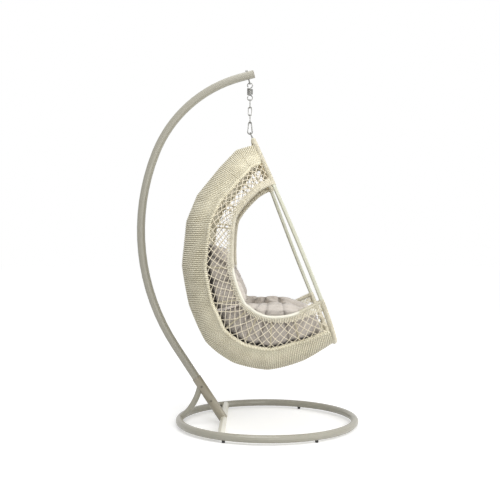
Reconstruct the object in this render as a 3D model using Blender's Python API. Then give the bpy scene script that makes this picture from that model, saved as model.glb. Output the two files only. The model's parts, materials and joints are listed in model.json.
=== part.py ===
"""Hanging egg chair: a rope-woven egg basket on a spring and chain under a C-shaped steel stand.

Metres, +Z up, +X towards the chair's open front, the floor at Z = 0. The origin lies on the
floor under the middle of the chair's bounding box, so the hanging line stands a little ahead
of it. Everything above the ring follows from the sizes below: the pole's bends place the eye
bolt, the eye bolt places the chain, and the chain places the basket.
"""

import math

import bmesh
import bpy
import numpy as np
from mathutils import Matrix, Vector

GAP = 0.0003  # air left between pieces that touch

# ---- stand ----
RING_RADIUS = 0.480  # centreline of the base ring
RING_TUBE = 0.040
RING_STEP_DEG = 6.0
RING_JOINT_STRAIGHT = 0.006  # last bit of each arc, square to the joint
RING_JOINT_DEG = 66.0  # where the front arc plugs into the rear arc, from the front
FOOT_DIAMETER = 0.017
FOOT_DROP = 0.0105  # how far a foot holds the ring's underside off the floor
FOOT_SEAT = 0.006  # how far a foot rises round the ring's underside
FEET = (  # round the ring from the front
    ("foot_front_left", 65.0), ("foot_front_right", -60.0),
    ("foot_rear_left", 122.0), ("foot_rear_right", -118.0),
)
FOOT_BEVEL = 0.0015
CROSS_BAR_BACK = 0.238  # behind the ring's middle
CROSS_BAR_TUBE = 0.038
RING_BOLT_BACK = 0.029  # behind the cross bar
RING_BOLT_HEAD = 0.010
SOCKET_TUBE = 0.051
SOCKET_LENGTH = 0.272  # from the cross bar's axis, along the pole
BRACE_TUBE = 0.032
BRACE_TOP = 0.232  # where the brace leaves the socket, along the pole
BRACE_BOW = 0.022  # how far the brace bows down from a straight line
SOCKET_BOLT_AT = (0.1225, 0.216)  # along the pole
SOCKET_BOLT_HEAD = 0.0125
SOCKET_BOLT_RISE = 0.0035

# ---- pole: a straight foot, two bends and a straight tip ----
POLE_TUBE = 0.045
POLE_FOOT_AT = 0.090  # where the pole ends inside the socket
POLE_LEAN_DEG = 33.41  # backward lean of the straight foot, from the vertical
POLE_FOOT_LENGTH = 0.479
LOWER_BEND_RADIUS = 1.156
LOWER_BEND_END_DEG = -21.70
UPPER_BEND_RADIUS = 0.694
POLE_TIP_DEG = -75.17
POLE_TIP_LENGTH = 0.072
POLE_STEP_DEG = 3.5
POLE_FIT = 0.0004  # clearance between pole and socket
CAP_THICKNESS = 0.004
CAP_BEVEL = 0.0012

# ---- eye bolt ----
BOLT_SETBACK = 0.0321  # from the pole's end, along the pole
BOLT_SHANK = 0.008
BOLT_FIT = 0.0004
EYE_RADIUS = 0.0105  # centreline of the eye
EYE_ROD = 0.007
EYE_DROP = 0.0484  # from the pole's axis to the eye's lowest bar
NUT_ACROSS = 0.013
NUT_HEIGHT = 0.0065
NUT_TIP = 0.0012  # bolt end that shows above the nut

# ---- spring ----
SPRING_WIRE = 0.0055
SPRING_RADIUS = 0.01425  # centreline of the coil
SPRING_PITCH = 0.0061
SPRING_TURNS = 5.5
HOOK_RADIUS = 0.01375  # centreline of each end hook
HOOK_RISE = 0.018  # from the last coil to the hook's centre
HOOK_OPENS_DEG = 222.0
CURL_POINTS = 10

# ---- chain and carabiner ----
LINK_LENGTH = 0.0543
LINK_WIDTH = 0.024
LINK_ROD = 0.006
LINK_FIT = 0.0008  # play between one link and the next
CARABINER_LENGTH = 0.0734
CARABINER_WIDE = 0.032
CARABINER_NARROW = 0.022
CARABINER_ROD = 0.007
GATE_ROD = 0.0052
GATE_TOP = 0.36  # where the gate's pin crosses the open side, as a part of its length
GATE_FOOT = 0.93
GATE_EAR_SLOT = 0.0044
GATE_TONGUE = 0.0038
GATE_PIN = 0.0018
GATE_PIN_FIT = 0.0003

# ---- basket frame, measured from the carabiner's lowest bar ----
LOOP_ROD = 0.007
LOOP_FIT = 0.0010  # between the loop and the carabiner
LOOP_HALF_WIDTH = 0.0105
HOOP_TUBE = 0.022
HOOP_TOP_AHEAD = 0.016
HOOP_TOP_DROP = 0.0284
HOOP_FALL = 1.109  # height of the hoop's centreline
HOOP_LEAN = 0.40  # forward run for each metre of fall
HOOP_HALF_WIDTH = 0.370
HOOP_TIP_ROUNDING = 0.06
HOOP_STEPS = 50
RIM_TUBE = 0.022
BAND_TOP_SHARE = 0.030  # where the band's spine starts, as a part of the hoop's height
RIM_TOP_SHARE = 0.232  # where the rims meet the hoop, likewise
RIM_FOOT_SHARE = 0.783
RAIL_TUBE = 0.010
RIB_TUBE = 0.010
BAND_DEPTH = 0.129  # how far the woven back band reaches from the spine, and at its ends
BAND_TOP_DEPTH = 0.104
BAND_FOOT_DEPTH = 0.088
BAND_THICKNESS = 0.008
WEAVE_FIT = 0.0008
RIB_FIT = 0.0022  # between the ribs and the rails they pass
NET_FIT = 0.0026  # between the net's edge and the bars along it
NET_STRAND = 0.005
NET_THICKNESS = 0.004
NET_COLUMNS = 21
NET_ROWS = 2

# Ten ribs, from the top round to the foot. Spine and rim are ahead of and below the pivot.
RIB_SPINES = (
    (-0.074, 0.091), (-0.164, 0.189), (-0.284, 0.342), (-0.341, 0.486), (-0.364, 0.720),
    (-0.325, 0.932), (-0.235, 1.129), (-0.091, 1.238), (0.097, 1.278), (0.287, 1.232),
)
RIB_RIMS = (
    (0.075, 0.305), (0.031, 0.335), (-0.050, 0.424), (-0.084, 0.511), (-0.088, 0.728),
    (-0.040, 0.884), (0.000, 0.930), (0.045, 0.959), (0.110, 0.976), (0.220, 0.963),
)
RIB_HALF_WIDTHS = (
    0.250, 0.292, 0.345, 0.370, 0.390, 0.395, 0.390, 0.385, 0.380, 0.372,
)
RIB_SQUARENESS = (1.7, 2.2, 2.7, 3.0, 3.0, 3.0, 3.0, 3.0, 2.9, 2.6)  # 2 is an ellipse

# ---- cushions ----
CUSHION_CLEAR = 0.021  # from the weave to the cushions, past the ribs
SEAT_FROM, SEAT_TO = 6.36, 10.72  # along the ribs
BACK_FROM, BACK_TO = 4.50, 6.24
SEAT_THICKNESS = 0.125
BACK_THICKNESS = 0.105
WING_THICKNESS = 0.085
SEAT_SIDE_DROP = 0.906  # the level top of the seat's sides, below the basket's pivot
SEAT_WING_MOST = 0.075  # how far the seat's sides stand past the rims at most
BACK_WING = 0.027
CHANNEL_DEPTH = 0.20  # of the thickness
SEAT_CHANNELS = (7.45, 8.55, 9.65)
BACK_CHANNELS = (5.35,)

POWDER_COAT = ("warm_grey_powder_coat", (0.36, 0.33, 0.28), 0.45, 0.0)
ZINC = ("zinc_plate", (0.55, 0.55, 0.53), 0.35, 1.0)
BLACK_PLASTIC = ("black_plastic", (0.02, 0.02, 0.02), 0.6, 0.0)
GREY_PLASTIC = ("grey_plastic", (0.30, 0.28, 0.24), 0.55, 0.0)
CREAM_ROPE = ("cream_rope", (0.62, 0.57, 0.47), 0.9, 0.0)
CREAM_COAT = ("cream_powder_coat", (0.60, 0.56, 0.46), 0.45, 0.0)
LINEN = ("greige_linen", (0.50, 0.46, 0.44), 0.95, 0.0)


# ---------------------------------------------------------------- helpers
def clear_scene():
    for obj in list(bpy.data.objects):
        bpy.data.objects.remove(obj, do_unlink=True)


def material(look):
    name, colour, roughness, metallic = look
    mat = bpy.data.materials.get(name)
    if mat is None:
        mat = bpy.data.materials.new(name)
        mat.use_nodes = True
        shader = mat.node_tree.nodes["Principled BSDF"]
        shader.inputs["Base Color"].default_value = (*colour, 1.0)
        shader.inputs["Roughness"].default_value = roughness
        shader.inputs["Metallic"].default_value = metallic
    return mat


def own_material(obj, look):
    """Each piece keeps a material of its own, made from the shared look."""
    mat = material(look).copy()
    mat.name = obj.name + "_" + look[0]
    obj.data.materials.clear()
    obj.data.materials.append(mat)


def shade(mesh, angle_deg=40.0):
    mesh.shade_smooth()
    mesh.set_sharp_from_angle(angle=math.radians(angle_deg))


def add_object(name, mesh, look=None, angle_deg=40.0):
    shade(mesh, angle_deg)
    obj = bpy.data.objects.new(name, mesh)
    bpy.context.scene.collection.objects.link(obj)
    if look is not None:
        own_material(obj, look)
    return obj


def mesh_from(bm, name):
    bmesh.ops.remove_doubles(bm, verts=bm.verts, dist=1e-6)
    bmesh.ops.recalc_face_normals(bm, faces=bm.faces)
    mesh = bpy.data.meshes.new(name)
    bm.to_mesh(mesh)
    bm.free()
    return mesh


def tube(name, points, diameter, resolution, look=None, cyclic=False):
    """A round bar along points: a bevelled curve with filled ends, turned into a mesh."""
    curve = bpy.data.curves.new(name, "CURVE")
    curve.dimensions = "3D"
    curve.bevel_depth = diameter / 2
    curve.bevel_resolution = resolution
    curve.use_fill_caps = not cyclic
    spline = curve.splines.new("POLY")
    spline.points.add(len(points) - 1)
    for point, co in zip(spline.points, points):
        point.co = (co[0], co[1], co[2], 1.0)
    spline.use_cyclic_u = cyclic
    guide = bpy.data.objects.new(name + "_guide", curve)
    bpy.context.scene.collection.objects.link(guide)
    graph = bpy.context.evaluated_depsgraph_get()
    made = bpy.data.meshes.new_from_object(guide.evaluated_get(graph))
    bpy.data.objects.remove(guide, do_unlink=True)
    bm = bmesh.new()
    bm.from_mesh(made)
    bpy.data.meshes.remove(made)
    return add_object(name, mesh_from(bm, name), look)


def bar(name, foot, direction, length, diameter, sides, look=None, bevel=0.0):
    """A round bar from foot along direction, its far rim rounded over by bevel."""
    bm = bmesh.new()
    turn = Vector(direction).to_track_quat("Z", "Y").to_matrix().to_4x4()
    middle = Vector(foot) + Vector(direction).normalized() * length / 2
    bmesh.ops.create_cone(
        bm,
        cap_ends=True,
        segments=sides,
        radius1=diameter / 2,
        radius2=diameter / 2,
        depth=length,
        matrix=Matrix.Translation(middle) @ turn,
    )
    if bevel:
        far = Vector(foot) + Vector(direction).normalized() * length
        rim = [
            e for e in bm.edges
            if all((v.co - far).dot(Vector(direction)) > -1e-6 for v in e.verts)
        ]
        bmesh.ops.bevel(bm, geom=rim, offset=bevel, segments=2, affect="EDGES", profile=0.5)
    return add_object(name, mesh_from(bm, name), look, 35.0)


def cutter(obj):
    obj.hide_render = True
    obj.display_type = "WIRE"
    return obj


def cut(obj, tool):
    change = obj.modifiers.new("cut_" + tool.name, "BOOLEAN")
    change.operation = "DIFFERENCE"
    change.solver = "EXACT"
    change.object = cutter(tool)


def catmull(table, t):
    """A smooth curve through the rows of table, at t counted in rows."""
    table = np.asarray(table, float)
    i = min(max(int(math.floor(t)), 0), len(table) - 2)
    f = t - i
    p1, p2 = table[i], table[i + 1]
    p0 = table[i - 1] if i else 2 * p1 - p2
    p3 = table[i + 2] if i + 2 < len(table) else 2 * p2 - p1
    return 0.5 * (
        2 * p1 + (p2 - p0) * f + (2 * p0 - 5 * p1 + 4 * p2 - p3) * f**2
        + (3 * p1 - p0 - 3 * p2 + p3) * f**3
    )


def straight(table, t):
    table = np.asarray(table, float)
    i = min(max(int(math.floor(t)), 0), len(table) - 2)
    return table[i] + (table[i + 1] - table[i]) * (t - i)


def unit(v):
    return np.asarray(v, float) / np.linalg.norm(v)


# ---------------------------------------------------------------- the pole's line
def heading(lean):
    """(X, Z) of one step up the pole where it leans back by lean radians."""
    return np.array([-math.sin(lean), math.cos(lean)])


def pole_line(foot):
    """The pole's centreline from foot, the point where it would meet the cross bar's axis."""
    lean = math.radians(POLE_LEAN_DEG)
    here = np.array(foot, float)
    line = [here + heading(lean) * POLE_FOOT_AT]
    here = here + heading(lean) * POLE_FOOT_LENGTH
    line.append(here)
    bends = (
        (LOWER_BEND_RADIUS, math.radians(LOWER_BEND_END_DEG)),
        (UPPER_BEND_RADIUS, math.radians(POLE_TIP_DEG)),
    )
    for radius, end in bends:
        steps = max(2, math.ceil(abs(end - lean) / math.radians(POLE_STEP_DEG)))
        turn = (end - lean) / steps
        for _ in range(steps):
            here = here + heading(lean + turn / 2) * 2 * radius * math.sin(abs(turn) / 2)
            lean += turn
            line.append(here)
    line.append(here + heading(lean) * POLE_TIP_LENGTH)
    return line


# The ring's middle is the first reference: X is counted from it until the box is known.
RING_HEIGHT = FOOT_DROP + RING_TUBE / 2
LINE = pole_line((-CROSS_BAR_BACK, RING_HEIGHT))
TIP_ALONG = heading(math.radians(POLE_TIP_DEG))
TIP_UP = np.array([-TIP_ALONG[1], TIP_ALONG[0]])
BOLT_ON_POLE = LINE[-1] - TIP_ALONG * BOLT_SETBACK
EYE_BAR = BOLT_ON_POLE - TIP_UP * EYE_DROP
FRONT_MOST = RING_RADIUS + RING_TUBE / 2
REAR_MOST = min(p[0] for p in LINE) - POLE_TUBE / 2
RING_X = -(FRONT_MOST + REAR_MOST) / 2  # centres the box on the origin
HANG_X = RING_X + EYE_BAR[0]
FOOT_UP = heading(math.radians(POLE_LEAN_DEG))
CROSS_BAR_X = RING_X - CROSS_BAR_BACK


def on_pole(distance):
    """A point on the straight foot of the pole, counted from the cross bar's axis."""
    p = np.array([CROSS_BAR_X, RING_HEIGHT]) + FOOT_UP * distance
    return Vector((p[0], 0.0, p[1]))


# ---------------------------------------------------------------- stand
def ring_points(first_deg, last_deg, closed=False):
    steps = round((last_deg - first_deg) / RING_STEP_DEG)
    angles = np.radians(np.linspace(first_deg, last_deg, steps + 1))
    if closed:
        angles = angles[:-1]
    return [
        (RING_X + RING_RADIUS * math.cos(a), RING_RADIUS * math.sin(a), RING_HEIGHT)
        for a in angles
    ]


def ring_arc(name, first_deg, last_deg):
    """One arc of the ring, its ends pulled in by half a gap."""
    points = [Vector(p) for p in ring_points(first_deg, last_deg)]
    ends = []
    for deg, way, point in ((first_deg, 1, points[0]), (last_deg, -1, points[-1])):
        a = math.radians(deg)
        along = way * Vector((-math.sin(a), math.cos(a), 0.0))
        ends.append([point + along * GAP / 2, point + along * RING_JOINT_STRAIGHT])
    points = ends[0] + points[1:-1] + ends[1][::-1]
    return tube(name, points, RING_TUBE, 4, POWDER_COAT)


def ring_tool():
    """The ring, fatter by the gap: what stands on the ring is cut to it."""
    points = ring_points(0.0, 360.0, closed=True)
    return cutter(tube("ring_tool", points, RING_TUBE + 2 * GAP, 4, cyclic=True))


def build_ring():
    ring_arc("ring_front", -RING_JOINT_DEG, RING_JOINT_DEG)
    ring_arc("ring_rear", RING_JOINT_DEG, 360.0 - RING_JOINT_DEG)
    tool = ring_tool()
    bar_end = math.sqrt(RING_RADIUS**2 - CROSS_BAR_BACK**2)
    foot = (CROSS_BAR_X, -bar_end, RING_HEIGHT)
    cross = bar("cross_bar", foot, (0, 1, 0), 2 * bar_end, CROSS_BAR_TUBE, 12, POWDER_COAT)
    cut(cross, tool)
    for name, angle in FEET:
        a = math.radians(angle)
        top = (RING_X + RING_RADIUS * math.cos(a), RING_RADIUS * math.sin(a))
        height = FOOT_DROP + FOOT_SEAT
        foot = bar(
            name, (*top, height), (0, 0, -1), height, FOOT_DIAMETER, 12,
            BLACK_PLASTIC, FOOT_BEVEL,
        )
        cut(foot, tool)
    bolt_back = CROSS_BAR_BACK + RING_BOLT_BACK
    for name, side in (("ring_bolt_left", 1), ("ring_bolt_right", -1)):
        y = side * math.sqrt(RING_RADIUS**2 - bolt_back**2)
        centre = Vector((RING_X - bolt_back, y, RING_HEIGHT))
        head = bar(
            name, centre, (0, -side, 0), RING_TUBE / 2 + 0.006, RING_BOLT_HEAD, 10,
            BLACK_PLASTIC, 0.001,
        )
        cut(head, tool)
    return tool


def build_socket(ring):
    """The socket stands on the cross bar and takes the pole; the brace ties it to the ring."""
    up = Vector((FOOT_UP[0], 0.0, FOOT_UP[1]))
    socket = bar(
        "pole_socket", on_pole(0.0), up, SOCKET_LENGTH, SOCKET_TUBE, 20, POWDER_COAT, 0.0015
    )
    bore = bar(
        "socket_bore", on_pole(POLE_FOOT_AT - 0.002), up, SOCKET_LENGTH,
        POLE_TUBE + 2 * POLE_FIT, 20,
    )
    reach = CROSS_BAR_TUBE * 2
    bar_tool = bar(
        "cross_bar_tool", (CROSS_BAR_X, -reach, RING_HEIGHT), (0, 1, 0), 2 * reach,
        CROSS_BAR_TUBE + 2 * GAP, 12,
    )
    cut(socket, bore)
    cut(socket, bar_tool)
    socket_tool = bar(
        "socket_tool", on_pole(-0.02), up, SOCKET_LENGTH + 0.04, SOCKET_TUBE + 2 * GAP, 20
    )
    start, end = np.array(on_pole(BRACE_TOP)), np.array((RING_X - RING_RADIUS, 0, RING_HEIGHT))
    along = unit(end - start)
    sag = np.array((along[2], 0.0, -along[0]))
    sag = sag if sag[2] < 0 else -sag
    points = []
    for f in np.linspace(0.0, 1.0, 11):
        points.append(start + (end - start) * f + sag * BRACE_BOW * 4 * f * (1 - f))
    brace = tube("rear_brace", points, BRACE_TUBE, 4, POWDER_COAT)
    cut(brace, socket_tool)
    cut(brace, ring)
    for name, at in zip(("socket_bolt_lower", "socket_bolt_upper"), SOCKET_BOLT_AT):
        head = bar(
            name, on_pole(at), (0, -1, 0), SOCKET_TUBE / 2 + SOCKET_BOLT_RISE,
            SOCKET_BOLT_HEAD, 10, BLACK_PLASTIC, 0.001,
        )
        cut(head, socket_tool)


def build_pole():
    points = [(RING_X + p[0], 0.0, p[1]) for p in LINE]
    pole = tube("c_pole", points, POLE_TUBE, 4, POWDER_COAT)
    on_axis = Vector((RING_X + BOLT_ON_POLE[0], 0.0, BOLT_ON_POLE[1]))
    up = Vector((TIP_UP[0], 0.0, TIP_UP[1]))
    hole = bar(
        "bolt_hole", on_axis - up * POLE_TUBE, up, 2 * POLE_TUBE,
        BOLT_SHANK + 2 * BOLT_FIT, 10,
    )
    cut(pole, hole)
    tip, along = Vector(points[-1]), Vector((TIP_ALONG[0], 0.0, TIP_ALONG[1]))
    bar(
        "pole_end_cap", tip + along * GAP, along, CAP_THICKNESS, POLE_TUBE, 16,
        GREY_PLASTIC, CAP_BEVEL,
    )


def build_eye_bolt():
    """A shank through the pole with an eye below and a cap nut above."""
    up = Vector((TIP_UP[0], 0.0, TIP_UP[1]))
    lowest = Vector((HANG_X, 0.0, EYE_BAR[1]))
    centre = lowest + up * EYE_RADIUS
    across = Vector((0, 1, 0))
    points = []
    for a in np.radians(np.linspace(118.0, 450.0, 23)):
        points.append(centre + (across * math.cos(a) + up * math.sin(a)) * EYE_RADIUS)
    points[-1] = centre + up * EYE_RADIUS
    nut_foot = lowest + up * (EYE_DROP + POLE_TUBE / 2)
    top = nut_foot + up * (NUT_HEIGHT + NUT_TIP)
    eye = tube("eye_bolt", points, EYE_ROD, 2, ZINC)
    shank_foot = centre + up * (EYE_RADIUS - 0.0010)
    shank = cutter(
        bar("eye_bolt_shank", shank_foot, up, (top - shank_foot).length, BOLT_SHANK, 10)
    )
    join = eye.modifiers.new("shank", "BOOLEAN")
    join.operation, join.solver, join.object = "UNION", "EXACT", shank
    nut = bar(
        "eye_bolt_nut", nut_foot + up * GAP, up, NUT_HEIGHT, NUT_ACROSS, 6, ZINC, 0.0008
    )
    nut_hole = bar(
        "nut_hole", nut_foot - up * 0.01, up, 0.04, BOLT_SHANK + 2 * BOLT_FIT, 10
    )
    cut(nut, nut_hole)
    return lowest


# ---------------------------------------------------------------- spring, chain, carabiner
def hermite(p0, d0, p1, d1, steps):
    points = []
    for f in np.linspace(0.0, 1.0, steps + 1)[1:]:
        points.append(
            (2 * f**3 - 3 * f**2 + 1) * p0 + (f**3 - 2 * f**2 + f) * d0
            + (3 * f**2 - 2 * f**3) * p1 + (f**3 - f**2) * d1
        )
    return points


def spring_half():
    """From the coil's middle up to the upper hook's open end, about the spring's middle."""
    half_turns = SPRING_TURNS / 2
    count = round(half_turns * CURL_POINTS)
    points = []
    for k in range(count + 1):
        f = k / count
        a = math.radians(-90.0) - (1 - f) * half_turns * 2 * math.pi
        z = SPRING_PITCH * half_turns * f
        points.append(np.array((SPRING_RADIUS * math.cos(a), SPRING_RADIUS * math.sin(a), z)))
    top = points[-1]
    centre = np.array((0.0, 0.0, top[2] + HOOK_RISE))
    starts = math.radians(-20.0)
    first = centre + HOOK_RADIUS * np.array((math.cos(starts), 0, math.sin(starts)))
    leaves = np.array((-math.sin(starts), 0.0, math.cos(starts)))
    points += hermite(top, np.array((0.022, 0, 0.002)), first, leaves * 0.018, 5)
    for a in np.radians(np.linspace(-20.0, HOOK_OPENS_DEG, 12))[1:]:
        points.append(centre + HOOK_RADIUS * np.array((math.cos(a), 0, math.sin(a))))
    return points, centre[2]


def least_self_gap(points, diameter):
    """The smallest air between two stretches of a tube that aren't neighbours, in mm."""
    fine = []
    for a, b in zip(points, points[1:]):
        fine += [a + (b - a) * f for f in (0.0, 0.25, 0.5, 0.75)]
    fine = np.array(fine + [points[-1]])
    run = np.concatenate([[0], np.cumsum(np.linalg.norm(np.diff(fine, axis=0), axis=1))])
    apart = np.linalg.norm(fine[:, None] - fine[None], axis=2)
    apart[np.abs(run[:, None] - run[None]) < 4 * diameter] = 1.0
    return (apart.min() - diameter) * 1000


def spring_layout(eye_bar):
    """The spring's middle and its lower hook's lowest bar, under the eye's bar."""
    half, reach = spring_half()
    seat = EYE_ROD / 2 + SPRING_WIRE / 2 + GAP
    middle = eye_bar.z + seat - HOOK_RADIUS - reach
    return half, middle, middle - reach - HOOK_RADIUS


def build_spring(eye_bar):
    half, middle, lowest = spring_layout(eye_bar)
    lower = [np.array((p[0], -p[1], -p[2])) for p in half[1:]][::-1]
    points = lower + half
    print("spring, least gap to itself: %.2f mm" % least_self_gap(points, SPRING_WIRE))
    place = np.array((HANG_X, 0.0, middle))
    tube("hook_spring", [p + place for p in points], SPRING_WIRE, 1, ZINC)
    return lowest


def build_link(name, top_bar, side_on):
    """A chain link whose upper bar's axis is at height top_bar; side_on lies in the YZ plane."""
    radius = (LINK_WIDTH - LINK_ROD) / 2
    half = (LINK_LENGTH - LINK_ROD) / 2 - radius
    centre = Vector((HANG_X, 0.0, top_bar - half - radius))
    across = Vector((0, 1, 0)) if side_on else Vector((1, 0, 0))
    points = []
    for k in range(18):
        a = math.pi * (k if k < 9 else k - 1) / 8 if k < 9 else math.pi * (k - 1) / 8
        shift = half if k < 9 else -half
        points.append(
            centre + across * radius * math.cos(a) + Vector((0, 0, radius * math.sin(a) + shift))
        )
    tube(name, points, LINK_ROD, 1, ZINC, cyclic=True)
    return top_bar - (LINK_LENGTH - LINK_ROD)


def carabiner_sizes():
    small = (CARABINER_NARROW - CARABINER_ROD) / 2
    large = (CARABINER_WIDE - CARABINER_ROD) / 2
    apart = CARABINER_LENGTH - CARABINER_ROD - small - large
    return small, large, apart, math.asin((large - small) / apart)


def build_carabiner(top_bar):
    """A pear-shaped body open on the side towards the pole, with a pinned gate across."""
    small, large, apart, taper = carabiner_sizes()
    high = np.array((HANG_X, 0.0, top_bar - small))
    low = high - np.array((0, 0, apart))

    def at(centre, radius, angle):
        return centre + radius * np.array((math.cos(angle), 0.0, math.sin(angle)))

    left_top, left_low = at(high, small, math.pi - taper), at(low, large, math.pi - taper)
    down = unit(left_low - left_top)
    length = float(np.linalg.norm(left_low - left_top))
    pin = left_top + down * length * GATE_TOP
    foot = left_top + down * length * GATE_FOOT
    ear_end = pin + down * 0.0040
    points = [ear_end, left_top]
    points += [at(high, small, a) for a in np.linspace(math.pi - taper, -taper, 8)[1:]]
    turn = np.linspace(2 * math.pi - taper, math.pi - taper, 10)
    points += [at(low, large, a) for a in turn]
    points.append(foot + down * (GAP + 0.0003))
    body = tube("carabiner_body", points, CARABINER_ROD, 2, ZINC)
    inward = np.array((-down[2], 0.0, down[0]))
    inward = inward if inward[0] > 0 else -inward
    slot_top = pin - down * 0.0042
    box = bpy.data.meshes.new("ear_slot")
    bm = bmesh.new()
    bmesh.ops.create_cube(bm, size=1.0)
    turned = Matrix((
        (inward[0], 0.0, down[0]), (0.0, 1.0, 0.0), (inward[2], 0.0, down[2])
    )).to_4x4()
    length_z = 0.014
    middle = Vector(slot_top + down * length_z / 2)
    scale = Matrix.Diagonal((CARABINER_ROD * 2, GATE_EAR_SLOT, length_z, 1.0))
    bmesh.ops.transform(bm, matrix=Matrix.Translation(middle) @ turned @ scale, verts=bm.verts)
    bmesh.ops.recalc_face_normals(bm, faces=bm.faces)
    bm.to_mesh(box)
    bm.free()
    slot = add_object("ear_slot", box)
    cut(body, slot)
    reach = CARABINER_ROD / 2 + 0.0004
    pin_hole = bar(
        "pin_hole", Vector(pin) - Vector((0, 2 * reach, 0)), (0, 1, 0), 4 * reach,
        GATE_PIN + 2 * GATE_PIN_FIT, 8,
    )
    cut(body, pin_hole)
    bar(
        "carabiner_gate_pin", Vector(pin) - Vector((0, reach, 0)), (0, 1, 0), 2 * reach,
        GATE_PIN, 8, ZINC,
    )
    build_gate(pin, foot, down, inward, pin_hole)
    lowest = low - np.array((0, 0, large))
    return Vector(pin), float(lowest[2])


def build_gate(pin, foot, down, inward, pin_hole):
    """The gate: a round bar with a thinner tongue that turns between the body's ears."""
    tongue_top = pin - down * 0.0026
    shoulder = pin + down * 0.0058
    gate = tube("carabiner_gate", [tongue_top, shoulder, foot], GATE_ROD, 2, ZINC)
    for side in (1, -1):
        bm = bmesh.new()
        bmesh.ops.create_cube(bm, size=1.0)
        turned = Matrix((
            (inward[0], 0.0, down[0]), (0.0, 1.0, 0.0), (inward[2], 0.0, down[2])
        )).to_4x4()
        middle = Vector(pin + down * 0.0004)
        middle.y = side * (GATE_TONGUE / 2 + 0.002)
        scale = Matrix.Diagonal((GATE_ROD * 2, 0.004, 0.0100, 1.0))
        move = Matrix.Translation(middle) @ turned @ scale
        bmesh.ops.transform(bm, matrix=move, verts=bm.verts)
        cheek = add_object("cheek_%s" % ("left" if side > 0 else "right"),
                           mesh_from(bm, "cheek"))
        cut(gate, cheek)
    cut(gate, pin_hole)


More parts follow.
